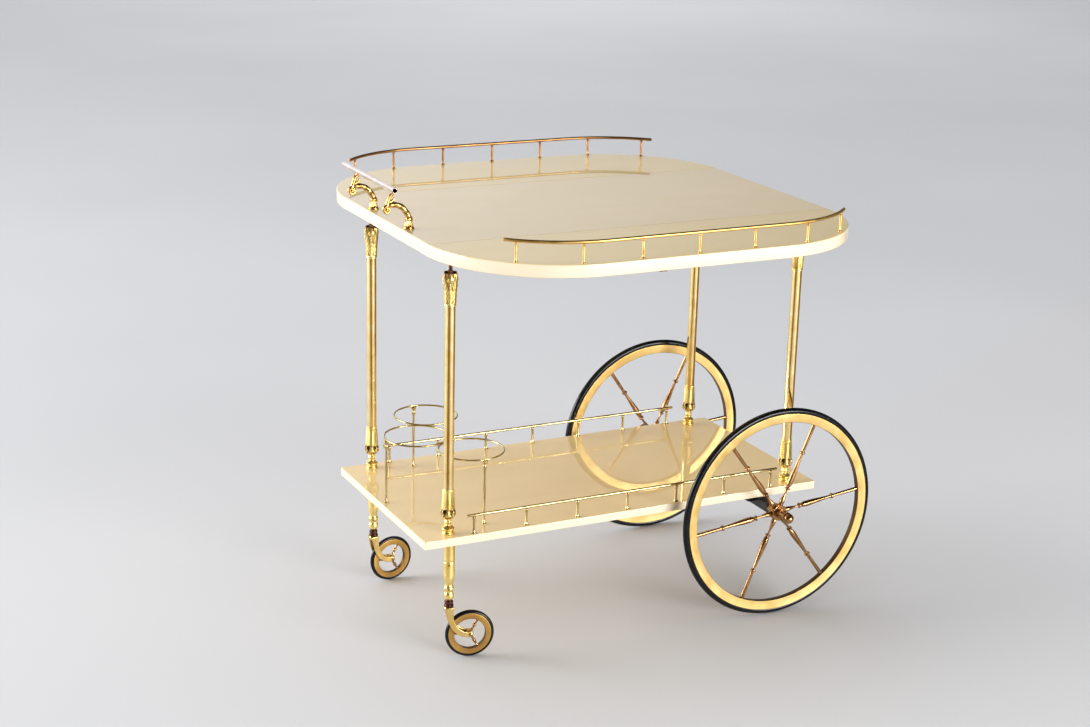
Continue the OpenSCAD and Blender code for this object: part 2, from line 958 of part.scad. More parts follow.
top_panel();
leaf_front();
leaf_back();
gallery_rail_front();
gallery_rail_back();
gallery_posts_front();
gallery_posts_back();
hinge_plates_fixed();
hinge_pins();
hinge_plates_front();
hinge_plates_back();
stay_brackets();
stay_arm_front();
stay_arm_back();
post_front_left();
post_front_right();
post_back_left();
post_back_right();
post_capitals();
post_feet();
tie_rods();
tie_rod_nuts();
lower_shelf();
shelf_rail_front();
shelf_rail_back();
shelf_rail_posts_front();
shelf_rail_posts_back();
bottle_ring_front();
bottle_ring_middle();
bottle_ring_back();
bottle_ring_legs();
handle_tube();
handle_bracket_front();
handle_bracket_back();
axle_beam();
axle();
axle_nuts();
wheel_tyre_front();
wheel_rim_front();
wheel_spokes_front();
wheel_hub_front();
hub_cap_front();
wheel_tyre_back();
wheel_rim_back();
wheel_spokes_back();
wheel_hub_back();
hub_cap_back();
castor_leg_front();
castor_stem_front();
castor_fork_front();
castor_axle_front();
castor_tyre_front();
castor_rim_front();
castor_leg_back();
castor_stem_back();
castor_fork_back();
castor_axle_back();
castor_tyre_back();
castor_rim_back();
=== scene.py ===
"""Display model of a drop-leaf serving trolley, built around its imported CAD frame.

Metres, +Z up, the handle towards -X. "front" is the -Y side and "back" is the +Y side.
Sizes of turned parts are written in millimetres and multiplied by MM where they are used.
"""

import json
import math

import bmesh
import bpy
from mathutils import Matrix, Vector


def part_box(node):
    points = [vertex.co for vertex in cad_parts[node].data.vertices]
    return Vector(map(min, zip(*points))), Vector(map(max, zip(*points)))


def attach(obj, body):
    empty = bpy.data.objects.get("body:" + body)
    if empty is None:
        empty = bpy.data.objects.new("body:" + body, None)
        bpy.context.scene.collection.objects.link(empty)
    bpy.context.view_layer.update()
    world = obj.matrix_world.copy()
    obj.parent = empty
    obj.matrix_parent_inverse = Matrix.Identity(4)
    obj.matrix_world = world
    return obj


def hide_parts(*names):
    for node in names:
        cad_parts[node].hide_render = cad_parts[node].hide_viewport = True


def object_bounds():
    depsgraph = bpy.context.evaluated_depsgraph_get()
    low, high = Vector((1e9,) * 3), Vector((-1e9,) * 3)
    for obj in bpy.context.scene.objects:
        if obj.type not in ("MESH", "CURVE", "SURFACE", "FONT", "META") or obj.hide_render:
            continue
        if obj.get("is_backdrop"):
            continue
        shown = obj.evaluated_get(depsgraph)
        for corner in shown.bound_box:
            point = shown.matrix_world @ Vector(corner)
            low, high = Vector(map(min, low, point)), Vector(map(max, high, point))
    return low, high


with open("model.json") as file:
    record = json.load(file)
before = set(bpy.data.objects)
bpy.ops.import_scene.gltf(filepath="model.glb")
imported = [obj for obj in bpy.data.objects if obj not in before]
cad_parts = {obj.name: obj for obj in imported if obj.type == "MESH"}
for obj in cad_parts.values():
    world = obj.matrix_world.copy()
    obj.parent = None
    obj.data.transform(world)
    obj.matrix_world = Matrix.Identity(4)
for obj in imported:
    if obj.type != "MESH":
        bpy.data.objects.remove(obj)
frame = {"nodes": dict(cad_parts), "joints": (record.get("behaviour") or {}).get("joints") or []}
cad_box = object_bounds()

MM = 0.001
FRONT = -1
BACK = 1
SIDES = (("front", FRONT), ("back", BACK))
TIP = 0.02
UP = Vector((0, 0, 1))

JOINTS = {joint["name"]: joint for joint in frame["joints"]}


def middle(node):
    """Middle of a CAD node's box."""
    low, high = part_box(node)
    return (low + high) / 2


def joint_place(name):
    """A joint's position as a vector."""
    return Vector(JOINTS[name]["pos_m"])


def link(item):
    """Puts an object in the scene."""
    bpy.context.scene.collection.objects.link(item)


# ---------------------------------------------------------------- camera, light and floor

CAMERA_PLACE = Vector((-1.5938, -2.9780, 1.4532))
CAMERA_YAW = math.radians(-26.577)
CAMERA_PITCH = math.radians(16.905)
CAMERA_ROLL = math.radians(1.435)
CAMERA_LENS_MM = 65.52
CAMERA_SENSOR_MM = 36.0
CAMERA_FAR = 200

BRIGHT_AZIMUTH = math.radians(115)
BACKDROP_LEVELS = (0.14, 1.5)
OVERHEAD_LEVELS = (1.0, 0.08)
WORLD_TINT = (0.95, 0.96, 1.0, 1)
FILL_STRENGTH = 2.0
FILL_SPREAD_DEG = 110
FILL_TILT_DEG = (-14, -10)
FILL_TINT = (0.98, 0.99, 1.0)
SOFTBOX_SPREAD_DEG = 180
SOFTBOX_TARGET = (0, 0, 0.4)
FLAG_REACH = 8
FLAG_BROWNS = ((0.19, 0.10, 0.045), (0.25, 0.14, 0.06))
FLOOR_GREYS = ((0.58, 0.58, 0.595), (0.62, 0.62, 0.63))


def add_camera():
    """A camera that looks down on the trolley from the front left."""
    ahead = Vector((
        -math.sin(CAMERA_YAW) * math.cos(CAMERA_PITCH),
        math.cos(CAMERA_YAW) * math.cos(CAMERA_PITCH),
        -math.sin(CAMERA_PITCH),
    ))
    level_right = Vector((math.cos(CAMERA_YAW), math.sin(CAMERA_YAW), 0))
    level_up = level_right.cross(ahead)
    right = math.cos(CAMERA_ROLL) * level_right + math.sin(CAMERA_ROLL) * level_up
    up = math.cos(CAMERA_ROLL) * level_up - math.sin(CAMERA_ROLL) * level_right
    data = bpy.data.cameras.new("camera")
    data.lens = CAMERA_LENS_MM
    data.sensor_width = CAMERA_SENSOR_MM
    data.clip_end = CAMERA_FAR
    camera = bpy.data.objects.new("camera", data)
    turn = Matrix((right, up, -ahead)).transposed().to_4x4()
    camera.matrix_world = Matrix.Translation(CAMERA_PLACE) @ turn
    link(camera)
    bpy.context.scene.camera = camera


def add_softbox(name, place, target, size, watts):
    """A rectangular area light that faces the target."""
    data = bpy.data.lights.new(name, "AREA")
    data.shape = "RECTANGLE"
    data.size, data.size_y = size
    data.energy = watts
    data.spread = math.radians(SOFTBOX_SPREAD_DEG)
    light = bpy.data.objects.new(name, data)
    light.location = place
    light.rotation_euler = (Vector(target) - Vector(place)).to_track_quat("-Z", "Y").to_euler()
    light.visible_camera = False
    link(light)
    return light


def add_fill():
    """An even overhead light over the whole floor, which polished parts don't reflect."""
    data = bpy.data.lights.new("fill", "SUN")
    data.energy = FILL_STRENGTH
    data.angle = math.radians(FILL_SPREAD_DEG)
    data.color = FILL_TINT
    light = bpy.data.objects.new("fill", data)
    tilt_x, tilt_y = FILL_TILT_DEG
    light.rotation_euler = (math.radians(tilt_x), math.radians(tilt_y), 0)
    light.visible_camera = False
    light.visible_glossy = False
    link(light)


def add_world():
    """A studio with a bright backdrop behind and to the left, and dark overhead and to the right."""
    world = bpy.data.worlds.new("studio")
    world.use_nodes = True
    tree = world.node_tree
    background = tree.nodes["Background"]
    coords = tree.nodes.new("ShaderNodeTexCoord")
    facing = tree.nodes.new("ShaderNodeVectorMath")
    facing.operation = "DOT_PRODUCT"
    facing.inputs[1].default_value = (math.cos(BRIGHT_AZIMUTH), math.sin(BRIGHT_AZIMUTH), 0)
    split = tree.nodes.new("ShaderNodeSeparateXYZ")
    tree.links.new(coords.outputs["Generated"], facing.inputs[0])
    tree.links.new(coords.outputs["Generated"], split.inputs[0])
    behind = map_range(tree, facing.outputs["Value"], 0.30, 1.0, *BACKDROP_LEVELS)
    overhead = map_range(tree, split.outputs["Z"], 0.35, 0.80, *OVERHEAD_LEVELS)
    strength = tree.nodes.new("ShaderNodeMath")
    strength.operation = "MULTIPLY"
    tree.links.new(behind, strength.inputs[0])
    tree.links.new(overhead, strength.inputs[1])
    tree.links.new(strength.outputs[0], background.inputs["Strength"])
    background.inputs["Color"].default_value = WORLD_TINT
    bpy.context.scene.world = world


def add_flag(name, start_deg, end_deg, near):
    """A brown cloth on the floor that only polished parts see: it gives them their dark bands."""
    steps = 24
    lift = 0.004
    verts = []
    for k in range(steps + 1):
        angle = math.radians(start_deg + (end_deg - start_deg) * k / steps)
        for reach in (near, FLAG_REACH):
            verts.append((reach * math.cos(angle), reach * math.sin(angle), lift))
    faces = [(2 * k, 2 * k + 1, 2 * k + 3, 2 * k + 2) for k in range(steps)]
    mesh = bpy.data.meshes.new(name)
    mesh.from_pydata(verts, [], faces)
    flag = bpy.data.objects.new(name, mesh)
    link(flag)
    material, tree, shader = new_material(name)
    weave = noise(tree, 40)
    colour_ramp(tree, weave, zip((0.3, 0.7), FLAG_BROWNS), shader.inputs["Base Color"])
    shader.inputs["Roughness"].default_value = 0.9
    flag.data.materials.append(material)
    flag.visible_camera = False
    flag.visible_diffuse = False
    flag.visible_shadow = False
    flag.visible_transmission = False
    flag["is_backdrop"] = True


def add_floor():
    """A pale plain floor that reaches past the horizon of every view."""
    half = 60.0
    verts = [(-half, -half, 0), (half, -half, 0), (half, half, 0), (-half, half, 0)]
    mesh = bpy.data.meshes.new("floor")
    mesh.from_pydata(verts, [], [(0, 1, 2, 3)])
    floor = bpy.data.objects.new("floor", mesh)
    link(floor)
    material, tree, shader = new_material("floor_paper")
    cloud = noise(tree, 0.6, detail=2)
    colour_ramp(tree, cloud, zip((0.3, 0.7), FLOOR_GREYS), shader.inputs["Base Color"])
    shader.inputs["Roughness"].default_value = 0.75
    floor.data.materials.append(material)
    floor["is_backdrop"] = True


# ---------------------------------------------------------------- material helpers


def new_material(name):
    """A node material with its tree and its shader."""
    material = bpy.data.materials.new(name)
    material.use_nodes = True
    return material, material.node_tree, material.node_tree.nodes["Principled BSDF"]


def noise(tree, scale, detail=3.0, roughness=0.5, stretch=(1, 1, 1), distortion=0.0):
    """Noise over the object's own coordinates; stretch below 1 draws it out along that axis."""
    coords = tree.nodes.new("ShaderNodeTexCoord")
    mapping = tree.nodes.new("ShaderNodeMapping")
    mapping.inputs["Scale"].default_value = stretch
    texture = tree.nodes.new("ShaderNodeTexNoise")
    texture.inputs["Scale"].default_value = scale
    texture.inputs["Detail"].default_value = detail
    texture.inputs["Roughness"].default_value = roughness
    texture.inputs["Distortion"].default_value = distortion
    tree.links.new(coords.outputs["Object"], mapping.inputs["Vector"])
    tree.links.new(mapping.outputs["Vector"], texture.inputs["Vector"])
    return texture.outputs["Fac"]


def colour_ramp(tree, value, stops, target=None):
    """Two colours along a value. Stops are (place, (r, g, b)) pairs."""
    ramp = tree.nodes.new("ShaderNodeValToRGB")
    elements = ramp.color_ramp.elements
    for element, (place, colour) in zip(elements, stops):
        element.position = place
        element.color = (*colour, 1)
    tree.links.new(value, ramp.inputs["Fac"])
    if target is not None:
        tree.links.new(ramp.outputs["Color"], target)
    return ramp.outputs["Color"]


def map_range(tree, value, low, high, to_low, to_high, target=None):
    """A value's range mapped to another, clamped and eased."""
    node = tree.nodes.new("ShaderNodeMapRange")
    node.interpolation_type = "SMOOTHSTEP"
    for socket, number in zip(node.inputs[1:5], (low, high, to_low, to_high)):
        socket.default_value = number
    tree.links.new(value, node.inputs["Value"])
    if target is not None:
        tree.links.new(node.outputs[0], target)
    return node.outputs[0]


def mix_colour(tree, factor, first, second):
    """Mixes two colour outputs, or an output with an (r, g, b) colour."""
    node = tree.nodes.new("ShaderNodeMix")
    node.data_type = "RGBA"
    for socket, value in ((node.inputs[0], factor), (node.inputs[6], first), (node.inputs[7], second)):
        if isinstance(value, bpy.types.NodeSocket):
            tree.links.new(value, socket)
        elif isinstance(value, tuple):
            socket.default_value = (*value, 1)
        else:
            socket.default_value = value
    return node.outputs[2]


def add_bump(tree, shader, height, strength, distance):
    """Surface bumps from a height value."""
    bump = tree.nodes.new("ShaderNodeBump")
    bump.inputs["Strength"].default_value = strength
    bump.inputs["Distance"].default_value = distance
    tree.links.new(height, bump.inputs["Height"])
    tree.links.new(bump.outputs["Normal"], shader.inputs["Normal"])


def uneven_gloss(tree, shader, scale, low, high):
    """Roughness that drifts between two values."""
    map_range(tree, noise(tree, scale, detail=2), 0.3, 0.7, low, high, shader.inputs["Roughness"])


def crevices(tree):
    """The mesh's own darkening value, tarnish together with painted shade: near 1 in crevices, cups, tube
    bores and on rims' inner faces, and 0 on an open surface.
    """
    attribute = tree.nodes.new("ShaderNodeAttribute")
    attribute.attribute_name = "tarnish_and_shade"
    return attribute.outputs["Fac"]


# ---------------------------------------------------------------- materials

# Dark brown laid by the darkening value: tarnish in crevices together with painted shade in crevices, cups,
# bores and on rims' inner faces.
CREVICE_TARNISH_AND_SHADE = (0.050, 0.022, 0.008)
TARNISH = (0.16, 0.075, 0.02)


def lacquer(name, pale, deep, edge, cloud_scale):
    """Clear high-gloss lacquer over ivory parchment: soft clouds, faint long streaks, and upright edges
    painted paler as painted light.
    """
    material, tree, shader = new_material(name)
    clouds = noise(tree, cloud_scale, stretch=(1, 1.7, 1), distortion=0.4)
    base = colour_ramp(tree, clouds, [(0.30, deep), (0.70, pale)])
    streaks = noise(tree, 9, detail=2, stretch=(0.12, 2.2, 1))
    streak_mask = map_range(tree, streaks, 0.45, 0.80, 0.0, 0.25)
    streaked = mix_colour(tree, streak_mask, base, tuple(c * 0.95 for c in deep))
    grain = noise(tree, 340, detail=2)
    grain_mask = map_range(tree, grain, 0.3, 0.8, 0.0, 0.08)
    grained = mix_colour(tree, grain_mask, streaked, tuple(c * 0.8 for c in deep))
    # Painted light: upright faces take the paler edge colour.
    whole = mix_colour(tree, upright_faces(tree), grained, edge)
    tree.links.new(whole, shader.inputs["Base Color"])
    uneven_gloss(tree, shader, 14, 0.28, 0.34)
    shader.inputs["Specular IOR Level"].default_value = 0.15
    shader.inputs["Coat Weight"].default_value = 1.0
    shader.inputs["Coat IOR"].default_value = 1.5
    map_range(tree, noise(tree, 10, detail=1), 0.35, 0.7, 0.010, 0.022, shader.inputs["Coat Roughness"])
    return material


def upright_faces(tree):
    """1 on a board's upright edges and 0 on its flat faces."""
    coords = tree.nodes.new("ShaderNodeTexCoord")
    split = tree.nodes.new("ShaderNodeSeparateXYZ")
    tree.links.new(coords.outputs["Normal"], split.inputs[0])
    size = tree.nodes.new("ShaderNodeMath")
    size.operation = "ABSOLUTE"
    tree.links.new(split.outputs["Z"], size.inputs[0])
    return map_range(tree, size.outputs[0], 0.25, 0.85, 1.0, 0.0)


def brass(name, bright, aged, rough=(0.10, 0.20), patina=0.45, bump_height=0.02 * MM):
    """Polished brass with clouds of patina, fine scratches, and crevices painted dark with tarnish together
    with painted shade.
    """
    material, tree, shader = new_material(name)
    shader.inputs["Metallic"].default_value = 1.0
    clouds = noise(tree, 38)
    base = colour_ramp(tree, clouds, [(0.36, bright), (0.72, aged)])
    specks = noise(tree, 700, detail=2, roughness=0.5)
    speck_mask = map_range(tree, specks, 0.62, 0.76, 0.0, patina)
    spotted = mix_colour(tree, speck_mask, base, tuple(c * 0.35 for c in aged))
    # Tarnish and painted shade: crevices, cups and bores painted dark.
    dirty = mix_colour(tree, crevices(tree), spotted, CREVICE_TARNISH_AND_SHADE)
    tree.links.new(dirty, shader.inputs["Base Color"])
    uneven_gloss(tree, shader, 60, *rough)
    add_bump(tree, shader, noise(tree, 900, detail=2), 0.2, bump_height)
    return material


def brushed_brass(name, bright, aged):
    """Flat wheel faces: satin brass with small tarnish spots."""
    material, tree, shader = new_material(name)
    shader.inputs["Metallic"].default_value = 1.0
    clouds = noise(tree, 26)
    base = colour_ramp(tree, clouds, [(0.30, bright), (0.75, aged)])
    spots = noise(tree, 420, roughness=0.6)
    spot_mask = map_range(tree, spots, 0.64, 0.76, 0.0, 0.45)
    spotted = mix_colour(tree, spot_mask, base, TARNISH)
    # Painted shade on the rims' inner faces, with tarnish and painted shade in any crevices.
    dirty = mix_colour(tree, crevices(tree), spotted, CREVICE_TARNISH_AND_SHADE)
    tree.links.new(dirty, shader.inputs["Base Color"])
    uneven_gloss(tree, shader, 70, 0.36, 0.46)
    add_bump(tree, shader, noise(tree, 500, detail=2), 0.3, 0.02 * MM)
    return material


def rubber(name):
    """Smooth black tyre rubber with a little dust."""
    material, tree, shader = new_material(name)
    dust = noise(tree, 60, detail=5, roughness=0.65)
    blacks = [(0.50, (0.002, 0.002, 0.003)), (0.85, (0.012, 0.012, 0.014))]
    colour_ramp(tree, dust, blacks, shader.inputs["Base Color"])
    shader.inputs["Specular IOR Level"].default_value = 0.28
    uneven_gloss(tree, shader, 120, 0.18, 0.28)
    add_bump(tree, shader, noise(tree, 700), 0.15, 0.04 * MM)
    return material


def plain_metal(name, light, dark, metallic=1.0):
    """Plain steel or painted metal with a mottled finish."""
    material, tree, shader = new_material(name)
    shader.inputs["Metallic"].default_value = metallic
    clouds = noise(tree, 120, detail=4, roughness=0.6)
    base = colour_ramp(tree, clouds, [(0.35, light), (0.70, dark)])
    # Tarnish and painted shade wherever the mesh's darkening value is set.
    dirty = mix_colour(tree, crevices(tree), base, tuple(c * 0.3 for c in dark))
    tree.links.new(dirty, shader.inputs["Base Color"])
    map_range(tree, noise(tree, 80), 0.3, 0.7, 0.25, 0.45, shader.inputs["Roughness"])
    add_bump(tree, shader, noise(tree, 600), 0.3, 0.1 * MM)
    return material


def oiled_wood(name):
    """Reddish-brown hardwood with grain along Y."""
    material, tree, shader = new_material(name)
    grain = noise(tree, 90, detail=5, roughness=0.6, stretch=(1, 0.06, 1), distortion=0.5)
    browns = [(0.30, (0.10, 0.030, 0.012)), (0.70, (0.24, 0.085, 0.035))]
    colour_ramp(tree, grain, browns, shader.inputs["Base Color"])
    map_range(tree, grain, 0.3, 0.7, 0.35, 0.55, shader.inputs["Roughness"])
    add_bump(tree, shader, grain, 0.4, 0.3 * MM)
    return material


# Paler colour for the boards' upright edges: painted light.
EDGE_PAINTED_LIGHT = (0.82, 0.71, 0.52)
TOP_LACQUER = lacquer("lacquer_top", (0.78, 0.60, 0.335), (0.745, 0.565, 0.305), EDGE_PAINTED_LIGHT, 3.0)
LEAF_LACQUER = lacquer("lacquer_leaf", (0.79, 0.60, 0.27), (0.755, 0.57, 0.245), EDGE_PAINTED_LIGHT, 3.0)
SHELF_LACQUER = lacquer("lacquer_shelf", (0.84, 0.63, 0.30), (0.79, 0.58, 0.26), EDGE_PAINTED_LIGHT, 4.0)
POLISHED_BRASS = brass("brass_polished", (1.0, 0.80, 0.38), (0.88, 0.62, 0.22))
WIRE_BRASS = brass("brass_wire", (0.66, 0.54, 0.26), (0.42, 0.31, 0.13), rough=(0.16, 0.26))
# The near rail and posts take a lighter brass and the far ones a darker brown: painted shade.
RAIL_BRASS = {
    FRONT: brass("brass_rail_near", (0.84, 0.55, 0.18), (0.56, 0.32, 0.08), rough=(0.34, 0.44)),
    BACK: brass("brass_rail_far", (0.42, 0.22, 0.08), (0.26, 0.12, 0.04), rough=(0.30, 0.40)),
}
CAST_BRASS = brass(
    "brass_cast", (1.0, 0.79, 0.30), (0.84, 0.56, 0.15), rough=(0.30, 0.42), patina=0.6,
    bump_height=1.0 * MM,
)
BRACKET_BRASS = brass(
    "brass_bracket", (0.78, 0.50, 0.16), (0.50, 0.26, 0.07), rough=(0.26, 0.38), patina=0.4
)
HANDLE_BRASS = brass("brass_handle", (0.84, 0.73, 0.68), (0.70, 0.57, 0.51), rough=(0.14, 0.22), patina=0.3)
BRONZE = brass("bronze_turned", (0.50, 0.275, 0.115), (0.29, 0.14, 0.055), rough=(0.20, 0.30), patina=0.3)
RIM_BRASS = brushed_brass("brass_rim", (0.92, 0.67, 0.28), (0.70, 0.45, 0.13))
CASTOR_BRASS = brushed_brass("brass_castor", (0.62, 0.37, 0.10), (0.36, 0.19, 0.05))
FORK_BRASS = brass("brass_fork", (0.86, 0.62, 0.23), (0.68, 0.45, 0.14), rough=(0.26, 0.36))
BLACK_RUBBER = rubber("rubber_black")
DARK_STEEL = plain_metal("steel_dark", (0.14, 0.062, 0.042), (0.045, 0.020, 0.014))
AXLE_STEEL = plain_metal("steel_plain", (0.42, 0.42, 0.43), (0.26, 0.25, 0.25))
BLACK_PAINT = plain_metal("paint_black", (0.020, 0.020, 0.022), (0.010, 0.010, 0.011), metallic=0.0)
STAY_WOOD = oiled_wood("wood_stay")


# ---------------------------------------------------------------- outlines and profiles


def fillet(points, radius, loop=False, steps=4):
    """Rounds the corners of a line of 2D points, with a narrow flat strip beside each."""
    most_of_side = 0.42
    strip = 1.15
    count = len(points)
    out = []
    for i, point in enumerate(points):
        corner = Vector(point)
        if not loop and i in (0, count - 1):
            out.append(corner)
            continue
        back = Vector(points[i - 1]) - corner
        ahead = Vector(points[(i + 1) % count]) - corner
        cut = min(radius, most_of_side * back.length, most_of_side * ahead.length)
        start = corner + back.normalized() * cut
        end = corner + ahead.normalized() * cut
        out.append(corner + back.normalized() * cut * strip)
        for k in range(steps + 1):
            t = k / steps
            out.append(start * (1 - t) ** 2 + corner * 2 * t * (1 - t) + end * t ** 2)
        out.append(corner + ahead.normalized() * cut * strip)
    return out


def curve_through(points, steps=6):
    """A smooth line through points of any dimension, which may carry a radius as their last number."""
    points = [Vector(p) for p in points]
    padded = [points[0] * 2 - points[1]] + points + [points[-1] * 2 - points[-2]]
    out = []
    for i in range(1, len(padded) - 2):
        a, b, c, d = padded[i - 1:i + 3]
        for k in range(steps):
            t = k / steps
            out.append(
                b + (c - a) * (0.5 * t)
                + (a * 2 - b * 5 + c * 4 - d) * (0.5 * t * t)
                + (b * 3 - a - c * 3 + d) * (0.5 * t ** 3)
            )
    out.append(points[-1])
    return out


def arc_points(centre, radius, start_deg, end_deg, steps):
    """Points on an arc in a plane."""
    out = []
    for k in range(steps + 1):
        angle = math.radians(start_deg + (end_deg - start_deg) * k / steps)
        out.append((centre[0] + radius * math.cos(angle), centre[1] + radius * math.sin(angle)))
    return out


# ---------------------------------------------------------------- mesh building


class Shape:
    """Collects the surfaces of one piece before it becomes an object."""

    def __init__(self):
        self.verts = []
        self.faces = []
        self.tarnish_and_shade = []

    def skin(self, rows, place=Matrix.Identity(4), loop=False, tarnish_and_shade=None):
        """Joins rings of points into a closed surface. A loop joins the last ring to the first."""
        base = len(self.verts)
        count = len(rows[0])
        for r, row in enumerate(rows):
            for i, point in enumerate(row):
                self.verts.append(place @ Vector(point))
                self.tarnish_and_shade.append(tarnish_and_shade[r][i] if tarnish_and_shade else 0.0)
        last = len(rows) if loop else len(rows) - 1
        for r in range(last):
            low = base + r * count
            high = base + ((r + 1) % len(rows)) * count
            for i in range(count):
                j = (i + 1) % count
                self.faces.append((low + i, low + j, high + j, high + i))
        if not loop:
            self.faces.append(tuple(base + i for i in reversed(range(count))))
            top = base + (len(rows) - 1) * count
            self.faces.append(tuple(top + i for i in range(count)))

    def build(self, name, material, body, slot, *nodes, sharp=38.0):
        """Makes the object, gives it its finish, and lets it ride on its body in place of its CAD nodes."""
        mesh = bpy.data.meshes.new(name)
        mesh.from_pydata(self.verts, [], self.faces)
        # The darkening value: tarnish together with painted shade.
        tarnish_and_shade = mesh.attributes.new("tarnish_and_shade", "FLOAT", "POINT")
        tarnish_and_shade.data.foreach_set("value", self.tarnish_and_shade)
        work = bmesh.new()
        work.from_mesh(mesh)
        bmesh.ops.recalc_face_normals(work, faces=work.faces)
        work.to_mesh(mesh)
        work.free()
        mesh.shade_smooth()
        mesh.set_sharp_from_angle(angle=math.radians(sharp))
        mesh.materials.append(material)
        piece = bpy.data.objects.new(name, mesh)
        link(piece)
        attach(piece, body)
        if nodes:
            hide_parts(*nodes)
        return piece


def closed(profile):
    """A turned solid's profile with a tip at each end, on its axis."""
    last_height, last_radius = profile[-1]
    end = [] if last_radius == TIP else [(last_height, TIP)]
    return [(profile[0][0], TIP)] + profile + end


def turned_rows(profile, steps=40, relief=None):
    """Rings of a turned solid of (height, radius) pairs in mm. relief(angle, height) adds to the radius."""
    rows = []
    for height, radius in profile:
        row = []
        for i in range(steps):
            angle = 2 * math.pi * i / steps
            extra = relief(angle, height) if relief else 0.0
            reach = max(radius + extra, TIP) * MM
            row.append((reach * math.cos(angle), reach * math.sin(angle), height * MM))
        rows.append(row)
    return rows


def turned(shape, profile, place, steps=40, edge=0.5):
    """Adds a turned solid whose corners are rounded by edge."""
    shape.skin(turned_rows(fillet(closed(profile), edge), steps), place)


def turned_piece(piece, profile, place, steps, edge, material, body, slot, node):
    """A piece that is one turned solid, in place of one CAD node."""
    shape = Shape()
    turned(shape, profile, place, steps, edge)
    shape.build(piece, material, body, slot, node)


def ring_rows(section, steps):
    """Rings of a wheel-like solid: a closed section of (radius, height) pairs in mm, turned about Z."""
    rows = []
    for i in range(steps):
        angle = 2 * math.pi * i / steps
        rows.append([(r * MM * math.cos(angle), r * MM * math.sin(angle), h * MM) for r, h in section])
    return rows


def circle_section(centre_r, radius, steps):
    """A round section for ring_rows."""
    angles = [2 * math.pi * i / steps for i in range(steps)]
    return [(centre_r + radius * math.cos(a), radius * math.sin(a)) for a in angles]


def sweep_rows(path, radii, sides=16, normal=Vector((0, 1, 0)), shape_of=None):
    """Rings along a path. shape_of(angle, share) scales the radius round and along the piece."""
    rows = []
    for k, point in enumerate(path):
        behind = path[max(k - 1, 0)]
        ahead = path[min(k + 1, len(path) - 1)]
        tangent = (ahead - behind).normalized()
        across = normal - tangent * normal.dot(tangent)
        across.normalize()
        outward = tangent.cross(across)
        row = []
        for i in range(sides):
            angle = 2 * math.pi * i / sides
            scale = shape_of(angle, k / (len(path) - 1)) if shape_of else 1.0
            reach = radii[k] * scale
            row.append(point + across * (reach * math.cos(angle)) + outward * (reach * math.sin(angle)))
        rows.append(row)
    return rows


def inset_line(outline, depths):
    """A closed outline moved inwards; depths holds one distance for each point."""
    count = len(outline)
    area = sum(
        outline[i][0] * outline[(i + 1) % count][1] - outline[(i + 1) % count][0] * outline[i][1]
        for i in range(count)
    )
    turn = 1 if area > 0 else -1
    out = []
    for i in range(count):
        here = Vector(outline[i])
        back = (here - Vector(outline[i - 1])).normalized()
        ahead = (Vector(outline[(i + 1) % count]) - here).normalized()
        n1 = Vector((-back.y, back.x)) * turn
        n2 = Vector((-ahead.y, ahead.x)) * turn
        bisector = (n1 + n2).normalized()
        out.append(here + bisector * (depths[i] / max(bisector.dot(n1), 0.4)))
    return out


def slab_rows(outline, low, high, rounds):
    """Rings of a flat board: an outline between two heights, with each point's own edge rounding."""
    flat_margin = 1.2
    steps = 4
    quarter = [math.pi / 2 * k / steps for k in range(steps + 1)]
    insets = [flat_margin] + [1 - math.sin(a) for a in quarter]
    drops = [0.0] + [1 - math.cos(a) for a in quarter]
    lower = []
    upper = []
    for inset, drop in zip(insets, drops):
        line = inset_line(outline, [r * inset for r in rounds])
        lower.append([(p.x, p.y, low + r * drop) for p, r in zip(line, rounds)])
        upper.append([(p.x, p.y, high - r * drop) for p, r in zip(line, rounds)])
    return lower + upper[::-1]


def across_y(side):
    """Turns a shape's Z axis outwards along Y on one side."""
    return Matrix.Rotation(math.radians(-90 * side), 4, "X")


def at(x, y, z):
    """A place."""
    return Matrix.Translation((x, y, z))


# ---------------------------------------------------------------- boards

EDGE_ROUND = 1.8 * MM
SEAM_ROUND = 0.45 * MM
SHELF_EDGE_ROUND = 1.3 * MM
TOP_CORNER_R = 0.213
END_STEPS = 24
GALLERY_END_DEG = 44


def top_end_points(y_from, y_to):
    """Points down one end of the table top, as (half length, y) pairs from one y to the other."""
    leaf_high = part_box("leaf_back")[1]
    straight_half = leaf_high.y - TOP_CORNER_R
    out = []
    for k in range(END_STEPS + 1):
        y = y_from + (y_to - y_from) * k / END_STEPS
        over = max(abs(y) - straight_half, 0.0)
        out.append((middle_half_length() - TOP_CORNER_R + math.sqrt(TOP_CORNER_R ** 2 - over ** 2), y))
    return out


def board_piece(name, outline, seam_flags, box_node, material, body):
    """A board with rounded outer edges and crisp edges at the seams."""
    low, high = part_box(box_node)
    rounds = [SEAM_ROUND if flag else EDGE_ROUND for flag in seam_flags]
    shape = Shape()
    shape.skin(slab_rows(outline, low.z, high.z, rounds))
    shape.build(name, material, body, "lacquered_board", box_node)


def add_centre_board():
    """The fixed middle of the top, with a seam along each long side."""
    low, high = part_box("top_panel")
    mid_x = (low.x + high.x) / 2
    end = top_end_points(low.y, high.y)
    right = [(mid_x + h, y) for h, y in end]
    left = [(mid_x - h, y) for h, y in reversed(end)]
    flags = [k in (0, END_STEPS) for k in range(END_STEPS + 1)] * 2
    board_piece("centre_board", right + left, flags, "top_panel", TOP_LACQUER, "frame")


